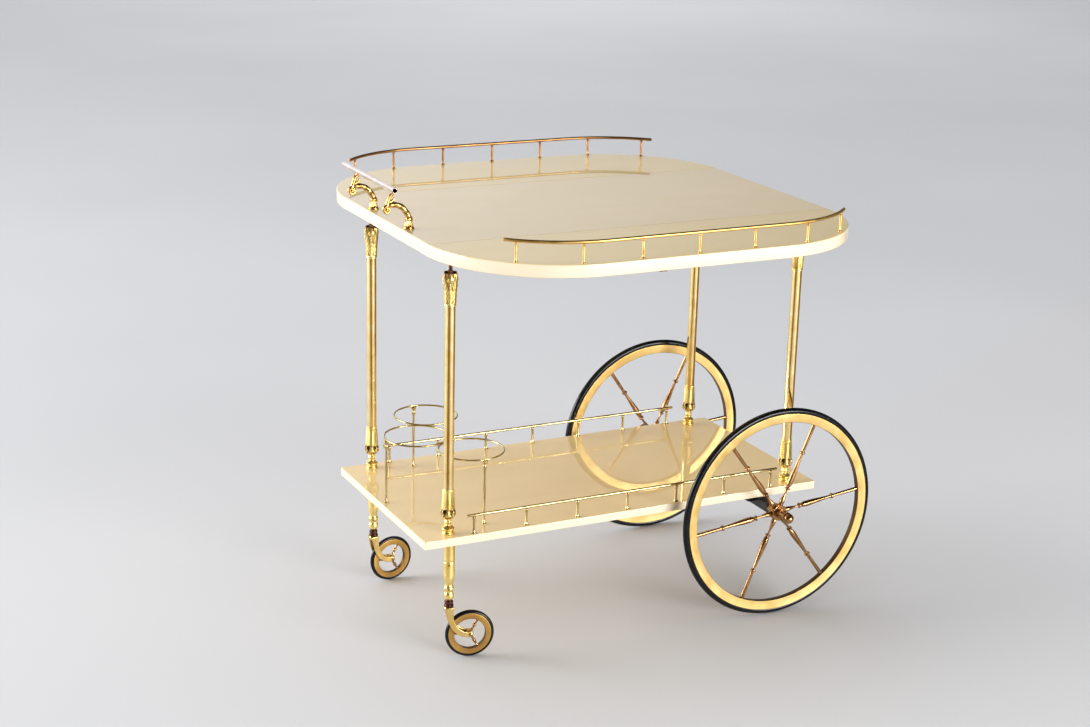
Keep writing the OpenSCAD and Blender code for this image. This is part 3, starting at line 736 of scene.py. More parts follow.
def add_leaf_board(name, side):
    """A leaf: straight at the seam, and rounded at its two outer corners."""
    node = "leaf_" + name
    low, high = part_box(node)
    mid_x = (low.x + high.x) / 2
    outer = max(abs(low.y), abs(high.y))
    inner = min(abs(low.y), abs(high.y))
    centre = (middle_half_length() - TOP_CORNER_R, outer - TOP_CORNER_R)
    start = math.degrees(math.asin((inner - centre[1]) / TOP_CORNER_R))
    corner = arc_points(centre, TOP_CORNER_R, start, 90, 36)
    half = [(corner[0][0], inner)] + corner[1:]
    right = [(mid_x + x, side * y) for x, y in half]
    left = [(mid_x - x, side * y) for x, y in reversed(half)]
    flags = [k in (0, len(half) * 2 - 1) for k in range(len(half) * 2)]
    board_piece(name + "_leaf_board", right + left, flags, node, LEAF_LACQUER, "leaf_" + name + "_body")


def middle_half_length():
    """Half of the top's length."""
    low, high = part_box("top_panel")
    return (high.x - low.x) / 2


def add_shelf_board():
    """The lower shelf with small vertical corner rounds."""
    corner_round = 2.5 * MM
    low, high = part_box("lower_shelf")
    plan = [(low.x, low.y), (high.x, low.y), (high.x, high.y), (low.x, high.y)]
    outline = fillet(plan, corner_round, loop=True, steps=3)
    shape = Shape()
    shape.skin(slab_rows(outline, low.z, high.z, [SHELF_EDGE_ROUND] * len(outline)))
    shape.build("shelf_board", SHELF_LACQUER, "frame", "lacquered_board", "lower_shelf")


# ---------------------------------------------------------------- rails and small posts


def rail_rows(path, radius):
    """Rings of a round bar along a path, with softly rounded end edges."""
    edge = 0.6 * MM
    first = (path[1] - path[0]).normalized()
    last = (path[-1] - path[-2]).normalized()
    head = [path[0], path[0] + first * edge * 0.3, path[0] + first * edge]
    tail = [path[-1] - last * edge, path[-1] - last * edge * 0.3, path[-1]]
    end = [radius - edge, radius - edge * 0.3]
    radii = end + [radius] * len(path) + end[::-1]
    return sweep_rows(head + path[1:-1] + tail, radii, 20, normal=UP)


def gallery_path(side):
    """The gallery rail's centre line: straight, with both ends bent in along the top's corners."""
    low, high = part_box("gallery_rail_" + ("front" if side == FRONT else "back"))
    leaf_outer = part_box("leaf_back")[1].y
    mid_x = middle("top_panel").x
    z = (low.z + high.z) / 2
    rail_r = (high.z - low.z) / 2
    outer = max(abs(low.y), abs(high.y)) - rail_r
    bend_r = TOP_CORNER_R - (leaf_outer - outer)
    bend_x = middle_half_length() - TOP_CORNER_R
    bend_y = leaf_outer - TOP_CORNER_R
    right = arc_points((bend_x, bend_y), bend_r, GALLERY_END_DEG, 90, 16)
    straight = [(bend_x * (1 - k / 3), outer) for k in range(1, 6)]
    left = [(-x, y) for x, y in reversed(right)]
    return [Vector((mid_x + x, side * y, z)) for x, y in right + straight + left], rail_r


def add_gallery_rail(name, side):
    """One bent gallery rail. The far one is painted a darker brown as painted shade."""
    body = "leaf_" + name + "_body"
    shape = Shape()
    shape.skin(rail_rows(*gallery_path(side)))
    shape.build(name + "_gallery_rail", RAIL_BRASS[side], body, "polished_brass", "gallery_rail_" + name)


def post_places(node):
    """Foot of every separate post in a node, from its mesh, and the posts' height in mm."""
    foot_slack = 0.5 * MM
    post_reach = 20 * MM
    mesh = frame["nodes"][node].data
    low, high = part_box(node)
    clusters = []
    for vertex in mesh.vertices:
        if vertex.co.z > low.z + foot_slack:
            continue
        for cluster in clusters:
            if (cluster[0] - vertex.co).length < post_reach:
                cluster.append(vertex.co)
                break
        else:
            clusters.append([vertex.co.copy()])
    places = []
    for cluster in clusters:
        x, y = ((min(values) + max(values)) / 2 for values in zip(*((p.x, p.y) for p in cluster)))
        places.append(Vector((x, y, low.z)))
    return places, (high.z - low.z) / MM


def add_small_posts(node, profile_of, steps, edge, piece, material, body):
    """Every small turned post of a CAD node. profile_of(tall) gives their profile."""
    places, tall = post_places(node)
    shape = Shape()
    for place in places:
        turned(shape, profile_of(tall), at(*place), steps, edge)
    shape.build(piece, material, body, "polished_brass", node)


def gallery_post_profile(tall):
    """A slim post with a small foot and a cup under the rail."""
    return [
        (0, 3.4), (1.3, 3.4), (2.6, 2.2), (6, 1.9), (tall / 2, 2.15), (tall - 5, 1.9), (tall - 3, 2.0),
        (tall - 1.6, 2.8), (tall, 2.6),
    ]


def shelf_post_profile(tall):
    """A short post with a flared foot and a collar under the rail."""
    return [
        (0, 4.4), (1.0, 4.4), (2.0, 3.3), (4.5, 2.6), (tall / 2, 2.2), (tall - 6, 2.1), (tall - 3.2, 2.9),
        (tall - 1.4, 3.0), (tall, 2.6),
    ]


def ring_leg_profile(tall):
    """A thin leg with a knop halfway up and a cup under the rings."""
    return [
        (0, 4.0), (1.2, 4.0), (2.4, 2.5), (8, 1.9), (40, 2.0), (66, 2.5), (84, 2.0), (tall - 17, 1.9),
        (tall - 15, 2.6), (tall - 12, 3.3), (tall - 9, 3.1), (tall - 6.5, 2.4), (tall - 4, 4.2),
        (tall - 2, 5.0), (tall - 0.6, 5.0), (tall, 4.0),
    ]


def add_shelf_rail(name):
    """A straight rail above the shelf."""
    node = "shelf_rail_" + name
    low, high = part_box(node)
    radius = (high.z - low.z) / 2
    centre = middle(node)
    path = [Vector((low.x + (high.x - low.x) * k / 12, centre.y, centre.z)) for k in range(13)]
    shape = Shape()
    shape.skin(rail_rows(path, radius))
    shape.build(name + "_shelf_rail", WIRE_BRASS, "frame", "polished_brass", node)


# ---------------------------------------------------------------- posts with leafy capitals and feet

LEAF_TURN = math.radians(-114)
LEAF_COUNT = 4


def sector(angle, count=LEAF_COUNT, turn=LEAF_TURN):
    """Place across the nearest of count sectors: 0 in its middle and -1 or 1 at its edges."""
    share = (angle - turn) * count / (2 * math.pi)
    return 2 * (share - round(share))


def smooth_step(low, high, value):
    """0 below low, 1 above high and eased between."""
    t = min(max((value - low) / (high - low), 0.0), 1.0)
    return t * t * (3 - 2 * t)


def leaf_height(u, v, lobes, width):
    """Height of a serrated leaf. u runs across it, v from its root at 0 to its tip at 1."""
    if not 0.0 < v < 1.0:
        return 0.0
    belly = 0.55 + 0.45 * math.sin(math.pi * min(v * 1.3, 1))
    outline = width * math.sqrt(1 - v ** 3) * belly
    outline *= 0.86 + 0.14 * math.cos(2 * math.pi * lobes * v)
    share = abs(u) / max(outline, 1e-4)
    if share >= 1.0:
        return 0.0
    body = math.sqrt(1 - share ** 2)
    veins = 0.16 * math.cos(2 * math.pi * (lobes * v - share * 1.4))
    midrib = 0.35 * math.exp(-(share / 0.16) ** 2)
    return body * (0.75 + veins) + midrib * body


def rosette_height(across, up, radius):
    """Height of a small flower with five petals and a bud."""
    reach = math.hypot(across, up) / radius
    if reach >= 1.0:
        return 0.0
    petals = 0.78 + 0.22 * math.cos(5 * math.atan2(up, across))
    ring = math.sin(math.pi * min(reach, 1.0)) * petals
    bud = 0.9 * math.exp(-(reach / 0.24) ** 2)
    return ring + bud


def capital_relief(angle, height):
    """Leaves on a capital in mm: four low ones, four tall ones with curled tips, and flowers between."""
    u = sector(angle)
    corner = 1 - abs(u)
    low_leaf = leaf_height(u, (height - 3) / 36, 5, 0.62) * 0.9
    tall_leaf = leaf_height(corner, (height - 5) / 52, 6, 0.66) * 1.1
    curl = smooth_step(38, 53, height) * max(1 - (corner / 0.62) ** 2, 0.0) * 1.7
    flower = rosette_height(u * 9.4, height - 45, 5.4) * 1.1
    dots = 0.28 * max(math.cos(2 * math.pi * height / 3.4), 0) * math.exp(-(u / 0.07) ** 2)
    inside = smooth_step(2, 5, height)
    return (max(low_leaf, tall_leaf + curl, flower) + dots * (height < 38) - 0.7) * inside


def foot_relief(angle, height):
    """Leaves on a foot in mm: a calyx of four leaves with flowers between, and ribs up the sleeve."""
    u = sector(angle)
    corner = 1 - abs(u)
    flower = rosette_height(u * 10.2, height - 34.5, 5.6) * 1.2
    calyx = leaf_height(corner, (height - 25) / 20, 3, 0.62) * 1.5
    tip = math.exp(-((height - 41.5) / 2.6) ** 2) * (0.5 + 0.5 * math.cos(2 * math.pi * u)) * 1.0
    calyx_zone = smooth_step(26, 29, height) * (1 - smooth_step(43, 46, height))
    panel = math.exp(-(u / 0.30) ** 4)
    ribs = 1.3 * (2 * abs((height / 4.6 + abs(u) * 1.6) % 1 - 0.5)) ** 0.7 - 0.5
    scales = 0.75 * max(math.cos(2 * math.pi * height / 3.5), -0.3) * math.exp(-(u / 0.20) ** 2) + 0.30
    sleeve_zone = smooth_step(44, 48, height) * (1 - smooth_step(74, 76, height))
    sleeve = ribs * (1 - panel) + scales * panel
    lobes = 0.25 * math.cos(8 * angle) * smooth_step(15, 19, height) * (1 - smooth_step(23, 26, height))
    return (max(flower, calyx + tip) - 0.9) * calyx_zone + sleeve * sleeve_zone + lobes


def dense_profile(points, step):
    """A profile with its long stretches cut into steps, so that relief can be laid on it."""
    out = [Vector(points[0])]
    for a, b in zip(points, points[1:]):
        start, end = Vector(a), Vector(b)
        parts = max(int((end - start).length / step), 1)
        out += [start.lerp(end, k / parts) for k in range(1, parts + 1)]
    return out


def carved(shape, profile, relief, place, steps=120, dirt=1.0, dark_from=None):
    """Adds a turned solid with relief. Its low places are painted dark with tarnish together with painted
    shade, and its cup within dark_from is painted dark as painted shade.
    """
    corners = fillet(closed(profile), 1.4, steps=3)
    points = dense_profile(corners, 0.9)
    rows = turned_rows(points, steps, relief)
    peak = max(range(len(points)), key=lambda k: points[k][0])
    tarnish_and_shade = []
    for k, (height, radius) in enumerate(points):
        in_cup = dark_from is not None and k > peak and radius < dark_from
        row = []
        for i in range(steps):
            angle = 2 * math.pi * i / steps
            depth = relief(angle, height)
            sides = max(relief(angle + 0.10, height), relief(angle - 0.10, height))
            around = max(sides, relief(angle, height + 1.0))
            # Grooves and hollows of the relief: tarnish together with painted shade.
            groove = 0.8 * smooth_step(0.10, 0.85, around - depth)
            hollow = 0.4 * smooth_step(0.25, 0.8, -depth)
            # Inside the cup the darkening is full: painted shade.
            row.append(1.0 if in_cup else min(dirt * (groove + hollow), 1.0))
        tarnish_and_shade.append(row)
    shape.skin(rows, place, tarnish_and_shade=tarnish_and_shade)


def post_axes():
    """Middles of the four posts, by name."""
    names = ("front_left", "front_right", "back_left", "back_right")
    return [(name, middle("post_" + name)) for name in names]


def add_post_tubes():
    """The four plain tubes."""
    for name, centre in post_axes():
        node = "post_" + name
        low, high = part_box(node)
        tall = (high.z - low.z) / MM
        radius = (high.x - low.x) / 2 / MM
        profile = [(tall * k / 8, radius) for k in range(9)]
        place = at(centre.x, centre.y, low.z)
        turned_piece(
            name + "_post_tube", profile, place, 48, 0.4, POLISHED_BRASS, "frame", "polished_brass", node
        )


def add_castings(piece, node, profile, relief, **finish):
    """A carved casting on each post, as one piece."""
    shape = Shape()
    for _, centre in post_axes():
        carved(shape, profile, relief, at(centre.x, centre.y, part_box(node)[0].z), **finish)
    shape.build(piece, CAST_BRASS, "frame", "cast_brass", node, sharp=60)


def height_of(node):
    """A CAD node's height in mm."""
    low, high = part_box(node)
    return (high.z - low.z) / MM


def add_capitals():
    """Cast leaf capitals on the tubes: each ends in a cup round the rod and its nut, painted dark inside as
    painted shade.
    """
    tall = height_of("post_capitals")
    cup_floor = 50.0
    profile = [
        (0, 9.0), (1.0, 9.6), (2.4, 9.4), (3.2, 9.2), (26, 10.2), (36, 11.6), (46, 12.4),
        (52, 12.2), (tall - 1, 11.8), (tall, 11.0), (tall - 0.8, 10.0), (cup_floor + 1, 8.8),
        (cup_floor, 8.0),
    ]
    add_castings("leaf_capitals", "post_capitals", profile, capital_relief, dark_from=10.9)


def add_feet():
    """Cast leaf feet between the shelf and the tubes."""
    tall = height_of("post_feet")
    profile = [
        (0, 10.4), (2.6, 10.4), (3.6, 8.8), (5.2, 8.4), (7.6, 9.8), (9.4, 10.9), (10.6, 10.4),
        (13, 7.2), (15.4, 4.9), (17, 4.8), (18.6, 6.2), (21, 6.6), (23.2, 6.0), (24.8, 4.8), (26.5, 5.6),
        (29, 9.6), (33, 12.4), (39, 12.9), (42, 12.0), (45, 10.6), (60, 9.9), (tall - 5, 9.2),
        (tall - 4, 8.8), (tall - 3, 9.4), (tall - 1, 9.4), (tall, 9.0),
    ]
    # The feet's relief gets a stronger darkening: tarnish together with painted shade.
    add_castings("leaf_feet", "post_feet", profile, foot_relief, dirt=2.2)


# ---------------------------------------------------------------- bottle rings


def add_bottle_rings():
    """Three wire hoops and the three legs under them."""
    for name in ("front", "middle", "back"):
        node = "bottle_ring_" + name
        low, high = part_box(node)
        wire_r = (high.z - low.z) / 2 / MM
        hoop_r = (high.x - low.x) / 2 / MM - wire_r
        shape = Shape()
        shape.skin(ring_rows(circle_section(hoop_r, wire_r, 14), 96), at(*middle(node)), loop=True)
        shape.build(name + "_bottle_hoop", WIRE_BRASS, "frame", "polished_brass", node)
    add_small_posts(
        "bottle_ring_legs", ring_leg_profile, 28, 0.9, "bottle_ring_legs_turned", WIRE_BRASS, "frame"
    )


# ---------------------------------------------------------------- handle


def add_handle_tube():
    """The straight handle: a tube whose open ends are painted dark inside as painted shade."""
    low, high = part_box("handle_tube")
    radius = (high.z - low.z) / 2 / MM
    half = (high.y - low.y) / 2 / MM
    wall = 1.1
    deep = 14.0
    bore = radius - wall
    end = [
        (deep - half, TIP), (deep - half, bore), (0.3 - half, bore), (-half, radius - 0.6),
        (-half, radius - 0.5), (0.3 - half, radius),
    ]
    outer = [(half * k / 4, radius) for k in range(-3, 4)]
    profile = end + outer + [(-h, r) for h, r in reversed(end)]
    steps = 40
    # Painted shade: the bore inside each open end is painted fully dark.
    dark = [[1.0 if r < radius - 0.9 * wall else 0.0] * steps for _, r in profile]
    place = at(*middle("handle_tube")) @ across_y(BACK)
    shape = Shape()
    shape.skin(turned_rows(profile, steps), place, tarnish_and_shade=dark)
    shape.build("handle_bar", HANDLE_BRASS, "frame", "polished_brass", "handle_tube")


def bell_relief(angle, height):
    """Pointed leaves round a bracket's bell."""
    u = sector(angle, 6, 0.0)
    return (leaf_height(u, (height - 4) / 13, 2, 0.8) * 0.9 - 0.3) * smooth_step(4, 6, height)


def acanthus_ridge(angle, share):
    """The bracket arm's section: a leaf folded over it, with a midrib and lobes cut by veins that add_wire
    paints dark with tarnish together with painted shade.
    """
    outer = max(math.cos(angle - math.pi / 2), 0.0)
    veins = math.cos(2 * math.pi * (share * 9 + 0.7 * abs(math.sin(angle - math.pi / 2))))
    leaf_zone = smooth_step(0.02, 0.08, share) * (1 - smooth_step(0.56, 0.64, share))
    rib = math.exp(-((1 - outer) / 0.03) ** 2)
    return 1 + leaf_zone * (0.10 * veins * (0.35 + 0.65 * abs(math.cos(angle))) + 0.10 * rib - 0.02)


def add_bracket(name):
    """A scroll bracket: flange, leafy bell, bent arm, volute with its eye, and a stem with a curl.

    Its bars are lists of (x, z, radius) in mm from the middle of the flange.
    """
    node = "handle_bracket_" + name
    low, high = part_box(node)
    flange_r = 9.2
    foot_x = high.x - flange_r * MM
    place = at(foot_x, middle(node).y, low.z)
    shape = Shape()
    bell = [
        (0, flange_r), (1.6, flange_r), (2.6, 8.4), (3.4, 8.4), (4.6, 7.2), (8, 6.0), (12, 4.9), (14, 4.8),
        (15.4, 5.7), (17.4, 5.6), (18.6, 4.6), (20, 4.2),
    ]
    carved(shape, bell, bell_relief, place, steps=72)
    spine = [
        (0.6, 12.0, 4.2), (0.2, 17.0, 4.6), (-0.8, 21.4, 4.9), (-4.4, 27.6, 4.7), (-9.4, 34.0, 4.7),
        (-16.6, 39.2, 4.6), (-24.8, 41.2, 4.6), (-32.6, 41.4, 4.4), (-38.8, 39.6, 3.6), (-42.6, 35.3, 3.0),
        (-41.2, 30.4, 2.6), (-36.4, 28.6, 2.4), (-32.8, 31.8, 2.1), (-34.2, 35.8, 1.8), (-37.6, 36.4, 1.6),
    ]
    add_wire(shape, place, spine, 28, acanthus_ridge)
    eye = [(-3.8, 1.2), (-3.0, 2.4), (0, 2.9), (3.0, 2.4), (3.8, 1.2)]
    turned(shape, eye, place @ at(-37.8 * MM, 0, 33.8 * MM) @ across_y(BACK), steps=24, edge=1.2)
    bar_x = (middle("handle_tube").x - foot_x) / MM
    bar_z = (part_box("handle_tube")[0].z - low.z) / MM
    stem = [
        (-37.2, 41.0, 3.6), (-36.4, 45.0, 3.1), (-34.7, 50.3, 2.8), (-32.2, 56.0, 2.6),
        (bar_x - 1.0, bar_z - 2.4, 2.7), (bar_x, bar_z + 0.6, 3.0),
    ]
    add_wire(shape, place, stem, 18)
    curl = [
        (-36.0, 44.0, 2.2), (-32.4, 46.2, 2.6), (-28.8, 47.6, 2.3), (-26.0, 50.2, 1.8), (-25.2, 53.0, 1.2),
        (-26.4, 54.4, 0.8),
    ]
    add_wire(shape, place, curl, 14)
    low_curl = [(-1.0, 22.0, 2.4), (3.4, 19.0, 2.2), (5.6, 15.4, 1.8), (5.8, 12.4, 1.2), (4.6, 11.4, 0.8)]
    add_wire(shape, place, low_curl, 14)
    shape.build(name + "_scroll_bracket", BRACKET_BRASS, "frame", "cast_brass", node, sharp=60)


def add_wire(shape, place, line, sides, shape_of=None):
    """Adds a bar in the XZ plane through (x, z, radius) points in mm, painted dark where its section dips,
    with tarnish together with painted shade.
    """
    smooth = curve_through(line, steps=7)
    path = [Vector((p[0] * MM, 0, p[1] * MM)) for p in smooth]
    radii = [p[2] * MM for p in smooth]
    rows = sweep_rows(path, radii, sides, shape_of=shape_of)
    tarnish_and_shade = None
    if shape_of:
        last = len(path) - 1
        tarnish_and_shade = []
        for k in range(len(path)):
            sizes = [shape_of(2 * math.pi * i / sides, k / last) for i in range(sides)]
            # Tarnish together with painted shade where the section dips.
            tarnish_and_shade.append([0.7 * (1 - smooth_step(0.90, 0.98, size)) for size in sizes])
    shape.skin(rows, place, tarnish_and_shade=tarnish_and_shade)


# ---------------------------------------------------------------- large wheels

RIM_STEPS = 160
SPOKE_COUNT = 6
SPOKE_TURN_DEG = {FRONT: 7, BACK: 5}
SPOKE_PROFILE = [
    (9.5, 3.2), (13.5, 3.6), (17, 4.4), (22, 4.5), (29, 3.1), (36, 1.9), (41.6, 1.8), (42.8, 2.0),
    (43.3, 4.4), (44.2, 5.0), (45.6, 5.0), (46.5, 4.4), (47, 2.6), (48.6, 3.2), (52, 4.6), (59, 5.3),
    (66, 5.2), (86, 3.9), (100, 3.0), (109, 2.5), (111.2, 2.5), (111.8, 4.6), (112.7, 5.1),
    (114.3, 5.1), (115.2, 4.6), (115.8, 2.9), (118, 2.9), (140, 3.2), (167.6, 3.5),
]

def wheel_centre(name):
    """A wheel's middle."""
    return Matrix.Translation(joint_place("wheel_" + name + "_spin"))


def add_wheel_tyre(name, place):
    """A round black tyre seated in the rim's groove."""
    node = "wheel_tyre_" + name
    low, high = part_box(node)
    outer = (high.x - low.x) / 2 / MM
    section_r = 6.0
    shape = Shape()
    shape.skin(ring_rows(circle_section(outer - section_r, section_r, 24), RIM_STEPS), place, loop=True)
    shape.build(name + "_tyre", BLACK_RUBBER, "wheel_" + name + "_body", "black_rubber", node)


def add_wheel_rim(name, place):
    """A brass rim with slightly dished faces, an inner face painted dark as painted shade, and a groove for
    the tyre.
    """
    inner, outer, inner_half, half = 167.0, 183.0, 5.4, 6.5
    groove = [(outer, 5.2), (outer - 1.7, 3.6), (outer - 2.4, 0), (outer - 1.7, -3.6), (outer, -5.2)]
    shoulder = outer - 0.3
    plan = [(inner, -inner_half), (inner, inner_half), (shoulder, half)] + groove + [(shoulder, -half)]
    section = fillet(plan, 0.7, loop=True, steps=3)
    # Painted shade: the inner face is darkened.
    dark = [0.9 * (1 - smooth_step(inner + 0.1, inner + 1.2, r)) for r, _ in section]
    shape = Shape()
    shape.skin(ring_rows(section, RIM_STEPS), place, loop=True, tarnish_and_shade=[dark] * RIM_STEPS)
    shape.build(name + "_rim", RIM_BRASS, "wheel_" + name + "_body", "rim_brass", "wheel_rim_" + name)


def add_spokes(name, side):
    """The turned spokes."""
    shape = Shape()
    for i in range(SPOKE_COUNT):
        angle = math.radians(90 - SPOKE_TURN_DEG[side] - 360 / SPOKE_COUNT * i)
        place = wheel_centre(name) @ Matrix.Rotation(angle, 4, "Y")
        turned(shape, SPOKE_PROFILE, place, steps=28, edge=0.8)
    shape.build(
        name + "_spokes", BRONZE, "wheel_" + name + "_body", "copper_bronze", "wheel_spokes_" + name
    )


def add_hub(name, side, place):
    """A bronze barrel with a six-sided middle, and the domed cap on its outer end."""
    shape = Shape()
    barrel = [
        (-20, 9.2), (-17.6, 9.2), (-15.6, 8.3), (-9, 8.3), (9, 8.3), (15.6, 8.3), (17.6, 9.2), (21, 9.2),
    ]
    turned(shape, barrel, place, steps=40, edge=0.8)
    flat_r = 13.7
    flat_half = 7 * MM
    corner_r = flat_r / math.cos(math.pi / SPOKE_COUNT) * MM
    plan = []
    for i in range(SPOKE_COUNT):
        angle = 2 * math.pi * (i + 0.5) / SPOKE_COUNT - side * math.radians(SPOKE_TURN_DEG[side])
        plan.append((corner_r * math.cos(angle), corner_r * math.sin(angle)))
    outline = fillet(plan, 2.0 * MM, loop=True, steps=3)
    shape.skin(slab_rows(outline, -flat_half, flat_half, [1.2 * MM] * len(outline)), place)
    shape.build(name + "_hub", BRONZE, "wheel_" + name + "_body", "copper_bronze", "wheel_hub_" + name)
    dome = [
        (21, 8.8), (22, 9.6), (24, 9.6), (24.8, 9.0), (30.2, 9.0), (31.4, 9.5), (32.4, 8.9), (33, 8.2),
        (33.8, 8.6), (36, 9.0), (39, 8.6), (41.6, 7.0), (43.6, 4.4), (44.6, 1.8), (44.9, TIP),
    ]
    body = "wheel_" + name + "_body"
    turned_piece(
        name + "_hub_cap", dome, place, 40, 1.3, BRONZE, body, "copper_bronze", "hub_cap_" + name
    )


def add_wheels():
    """Both large wheels."""
    for name, side in SIDES:
        outwards = wheel_centre(name) @ across_y(side)
        add_wheel_tyre(name, outwards)
        add_wheel_rim(name, outwards)
        add_spokes(name, side)
        add_hub(name, side, outwards)


# ---------------------------------------------------------------- castors


def castor_frames(name):
    """Swivel place on the floor, wheel place, trail and axle height. X runs back to the wheel."""
    pivot = joint_place("castor_" + name + "_swivel")
    wheel = joint_place("castor_" + name + "_spin")
    turn = math.atan2(wheel.y - pivot.y, wheel.x - pivot.x)
    spin = Matrix.Rotation(turn, 4, "Z")
    trail = math.hypot(wheel.x - pivot.x, wheel.y - pivot.y)
    swivel = at(pivot.x, pivot.y, 0) @ spin
    return swivel, swivel @ at(trail, 0, wheel.z), trail, wheel.z


def add_castor_leg(name):
    """The turned leg with two small grub screws."""
    node = "castor_leg_" + name
    low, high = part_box(node)
    pivot = joint_place("castor_" + name + "_swivel")
    base = low.z / MM
    top = high.z / MM
    profile = [
        (base, 7.4), (109.4, 8.2), (113, 8.7), (117, 8.4), (119.4, 7.1), (121.2, 6.8), (123, 7.4),
        (125, 8.6), (128.6, 8.7), (130.8, 7.3), (133, 6.8), (137, 7.1), (142, 8.5), (147, 9.5), (151, 9.7),
        (173.6, 9.7), (174.8, 9.0), (176.6, 9.0), (177.8, 9.4), (top, 9.4),
    ]
    place = at(pivot.x, pivot.y, 0)
    turned_piece(name + "_castor_leg", profile, place, 48, 1.2, CAST_BRASS, "frame", "cast_brass", node)
    screws = Shape()
    head = [(0, 1.5), (0.5, 1.4), (0.5, 0.7), (0.2, 0.6)]
    facing = Matrix.Rotation(LEAF_TURN, 4, "Z") @ Matrix.Rotation(math.radians(90), 4, "Y")
    for height, reach in ((170.5, 9.6), (126.8, 8.6)):
        spot = at(pivot.x, pivot.y, height * MM) @ facing @ at(0, 0, reach * MM)
        turned(screws, head, spot, steps=16, edge=0.2)
    screws.build(name + "_leg_screws", DARK_STEEL, "frame", "dark_steel")


def add_castor_stem(name, swivel):
    """The dark double collar under the leg."""
    node = "castor_stem_" + name
    low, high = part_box(node)
    base = low.z / MM
    profile = [
        (base, 4.6), (92.6, 4.6), (93.0, 7.2), (94.2, 8.2), (96.4, 8.2), (97.6, 7.0), (98.6, 6.4),
        (99.6, 7.0), (101.4, 7.6), (103.4, 7.4), (104.4, 6.0), (105.4, 5.2), (107.4, 5.2), (107.5, 4.6),
        (high.z / MM, 4.6),
    ]
    body = "castor_" + name + "_body"
    turned_piece(name + "_castor_collar", profile, swivel, 40, 0.8, DARK_STEEL, body, "dark_steel", node)


def fork_outline(trail, axle_z):
    """Side view of one fork arm in metres: wide at the crown, round a quarter bend and back to the axle."""
    line = [
        (0.4, 93, 7.2), (0.6, 88, 6.6), (1.4, 80, 5.6), (3.0, 70, 5.0), (6.6, 60, 4.9), (13, 51, 4.9),
        (21, 45.4, 4.9), (29, 42.8, 4.7), (trail / MM, axle_z / MM, 4.7),
    ]
    smooth = curve_through(line, steps=4)
    near = []
    far = []
    for k, point in enumerate(smooth):
        behind = smooth[max(k - 1, 0)]
        ahead = smooth[min(k + 1, len(smooth) - 1)]
        run = Vector((ahead[0] - behind[0], ahead[1] - behind[1])).normalized()
        side = Vector((-run.y, run.x)) * point[2]
        near.append((point[0] + side.x, point[1] + side.y))
        far.append((point[0] - side.x, point[1] - side.y))
    end = smooth[-1]
    heading = math.degrees(math.atan2(run.y, run.x))
    nose = arc_points((end[0], end[1]), end[2], heading + 90, heading - 90, 12)
    outline = near[:-1] + nose + far[-2::-1]
    return [(x * MM, z * MM) for x, z in outline]


def add_castor_fork(name, swivel, trail, axle_z):
    """Two rounded arms joined by a short crown."""
    outline = fork_outline(trail, axle_z)
    shape = Shape()
    upright = Matrix.Rotation(math.radians(90), 4, "X")
    thick = 2.7
    for low in (-8.6, 5.9):
        rows = slab_rows(outline, low * MM, (low + thick) * MM, [1.1 * MM] * len(outline))
        shape.skin(rows, swivel @ upright)
    crown = [(85.4, 6.4), (87, 8.2), (91.6, 8.4), (93, 7.6)]
    turned(shape, crown, swivel, steps=36, edge=1.0)
    body = "castor_" + name + "_body"
    shape.build(name + "_castor_fork", FORK_BRASS, body, "polished_brass", "castor_fork_" + name)


def add_castor_axle(name, wheel):
    """A pin with domed rivet heads."""
    head = [(8.5, 2.5), (8.6, 3.4), (9.6, 3.0), (10.2, 1.8)]
    profile = [(-h, r) for h, r in reversed(head)] + head
    place = wheel @ across_y(BACK)
    body = "castor_" + name + "_body"
    node = "castor_axle_" + name
    turned_piece(name + "_castor_pin", profile, place, 24, 0.4, BRONZE, body, "copper_bronze", node)


def add_castor_wheel(name, wheel):
    """A small brass wheel with three turned spokes and a thin black tyre."""
    body = "castor_" + name + "_wheel_body"
    place = wheel @ across_y(BACK)
    steps = 96
    tyre = Shape()
    tyre.skin(ring_rows(circle_section(38.0, 4.0, 18), steps), place, loop=True)
    tyre.build(name + "_castor_tyre", BLACK_RUBBER, body, "black_rubber", "castor_tyre_" + name)
    section = [(27, -4), (27, 4), (36.8, 4), (37.5, 2.4), (35.6, 0), (37.5, -2.4), (36.8, -4)]
    rim = Shape()
    rounded = fillet(section, 0.6, loop=True, steps=3)
    # Painted shade: the rim's inner face is darkened.
    dark = [0.9 * (1 - smooth_step(27.1, 28.0, r)) for r, _ in rounded]
    rim.skin(ring_rows(rounded, steps), place, loop=True, tarnish_and_shade=[dark] * steps)
    hub = [(-5.4, 4.8), (-4.6, 5.8), (-2, 6.0), (2, 6.0), (4.6, 5.8), (5.4, 4.8)]
    turned(rim, hub, place, steps=32, edge=0.7)
    rim.build(name + "_castor_rim", CASTOR_BRASS, body, "rim_brass", "castor_rim_" + name)
    spokes = Shape()
    spoke = [
        (4.6, 2.8), (8, 2.6), (11, 1.9), (13, 1.8), (14.4, 2.9), (16.4, 3.1), (18.2, 2.8),
        (19.4, 1.8), (23, 1.8), (27.6, 2.3),
    ]
    for i in range(3):
        angle = math.radians(30 - 120 * i)
        turned(spokes, spoke, wheel @ Matrix.Rotation(angle, 4, "Y"), steps=20, edge=0.8)
    spokes.build(name + "_castor_spokes", BRONZE, body, "copper_bronze")


def add_castors():
    """Both swivel castors."""
    for name, _ in SIDES:
        swivel, wheel, trail, axle_z = castor_frames(name)
        add_castor_leg(name)
        add_castor_stem(name, swivel)
        add_castor_fork(name, swivel, trail, axle_z)
        add_castor_axle(name, wheel)
        add_castor_wheel(name, wheel)


# ---------------------------------------------------------------- CAD nodes that stay


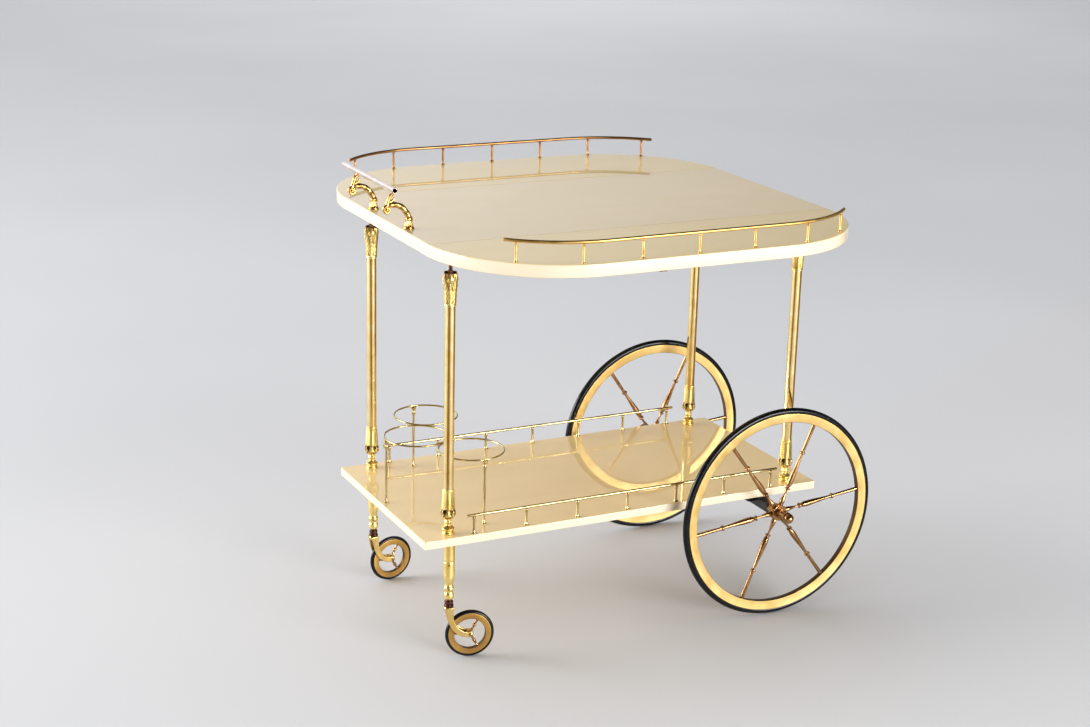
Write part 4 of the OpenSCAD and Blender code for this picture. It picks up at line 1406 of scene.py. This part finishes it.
def finish_cad_nodes():
    """Gives the CAD nodes that stay in view their own finishes."""
    finishes = {
        "hinge_plates_fixed": POLISHED_BRASS, "hinge_plates_front": POLISHED_BRASS,
        "hinge_plates_back": POLISHED_BRASS, "hinge_pins": DARK_STEEL, "stay_brackets": POLISHED_BRASS,
        "stay_arm_front": STAY_WOOD, "stay_arm_back": STAY_WOOD, "tie_rods": DARK_STEEL,
        "tie_rod_nuts": DARK_STEEL, "axle_beam": BLACK_PAINT, "axle": AXLE_STEEL, "axle_nuts": AXLE_STEEL,
    }
    for node, material in finishes.items():
        for slot in frame["nodes"][node].material_slots:
            slot.material = material


# ---------------------------------------------------------------- assembly

bpy.context.scene.view_settings.view_transform = "Standard"
bpy.context.scene.view_settings.look = "None"

add_camera()
add_world()
add_floor()
add_fill()
add_softbox("key_left", (-6.0, 2.8, 1.7), SOFTBOX_TARGET, (3.8, 2.6), 500)
add_softbox("key_right", (2.4, -6.0, 1.1), SOFTBOX_TARGET, (3.6, 1.4), 480)
add_softbox("backdrop_light", (4.1, 8.4, 4.0), (4.1, 8.4, 0), (2.0, 2.0), 60).visible_glossy = False
add_flag("flag_front", 204, 246, 1.05)
add_flag("flag_right", -38, 30, 1.0)

add_centre_board()
for side_name, side_sign in SIDES:
    add_leaf_board(side_name, side_sign)
    add_gallery_rail(side_name, side_sign)
    add_small_posts(
        "gallery_posts_" + side_name, gallery_post_profile, 20, 0.6,
        side_name + "_gallery_posts", RAIL_BRASS[side_sign], "leaf_" + side_name + "_body",
    )
    add_shelf_rail(side_name)
    add_small_posts(
        "shelf_rail_posts_" + side_name, shelf_post_profile, 24, 0.7,
        side_name + "_shelf_posts", WIRE_BRASS, "frame",
    )
    add_bracket(side_name)
add_shelf_board()
add_post_tubes()
add_capitals()
add_feet()
add_bottle_rings()
add_handle_tube()
add_wheels()
add_castors()
finish_cad_nodes()


def corners(box):
    """A box as plain numbers."""
    return [[float(v) for v in corner] for corner in box]


{"cad": corners(cad_box), "visual": corners(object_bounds())}
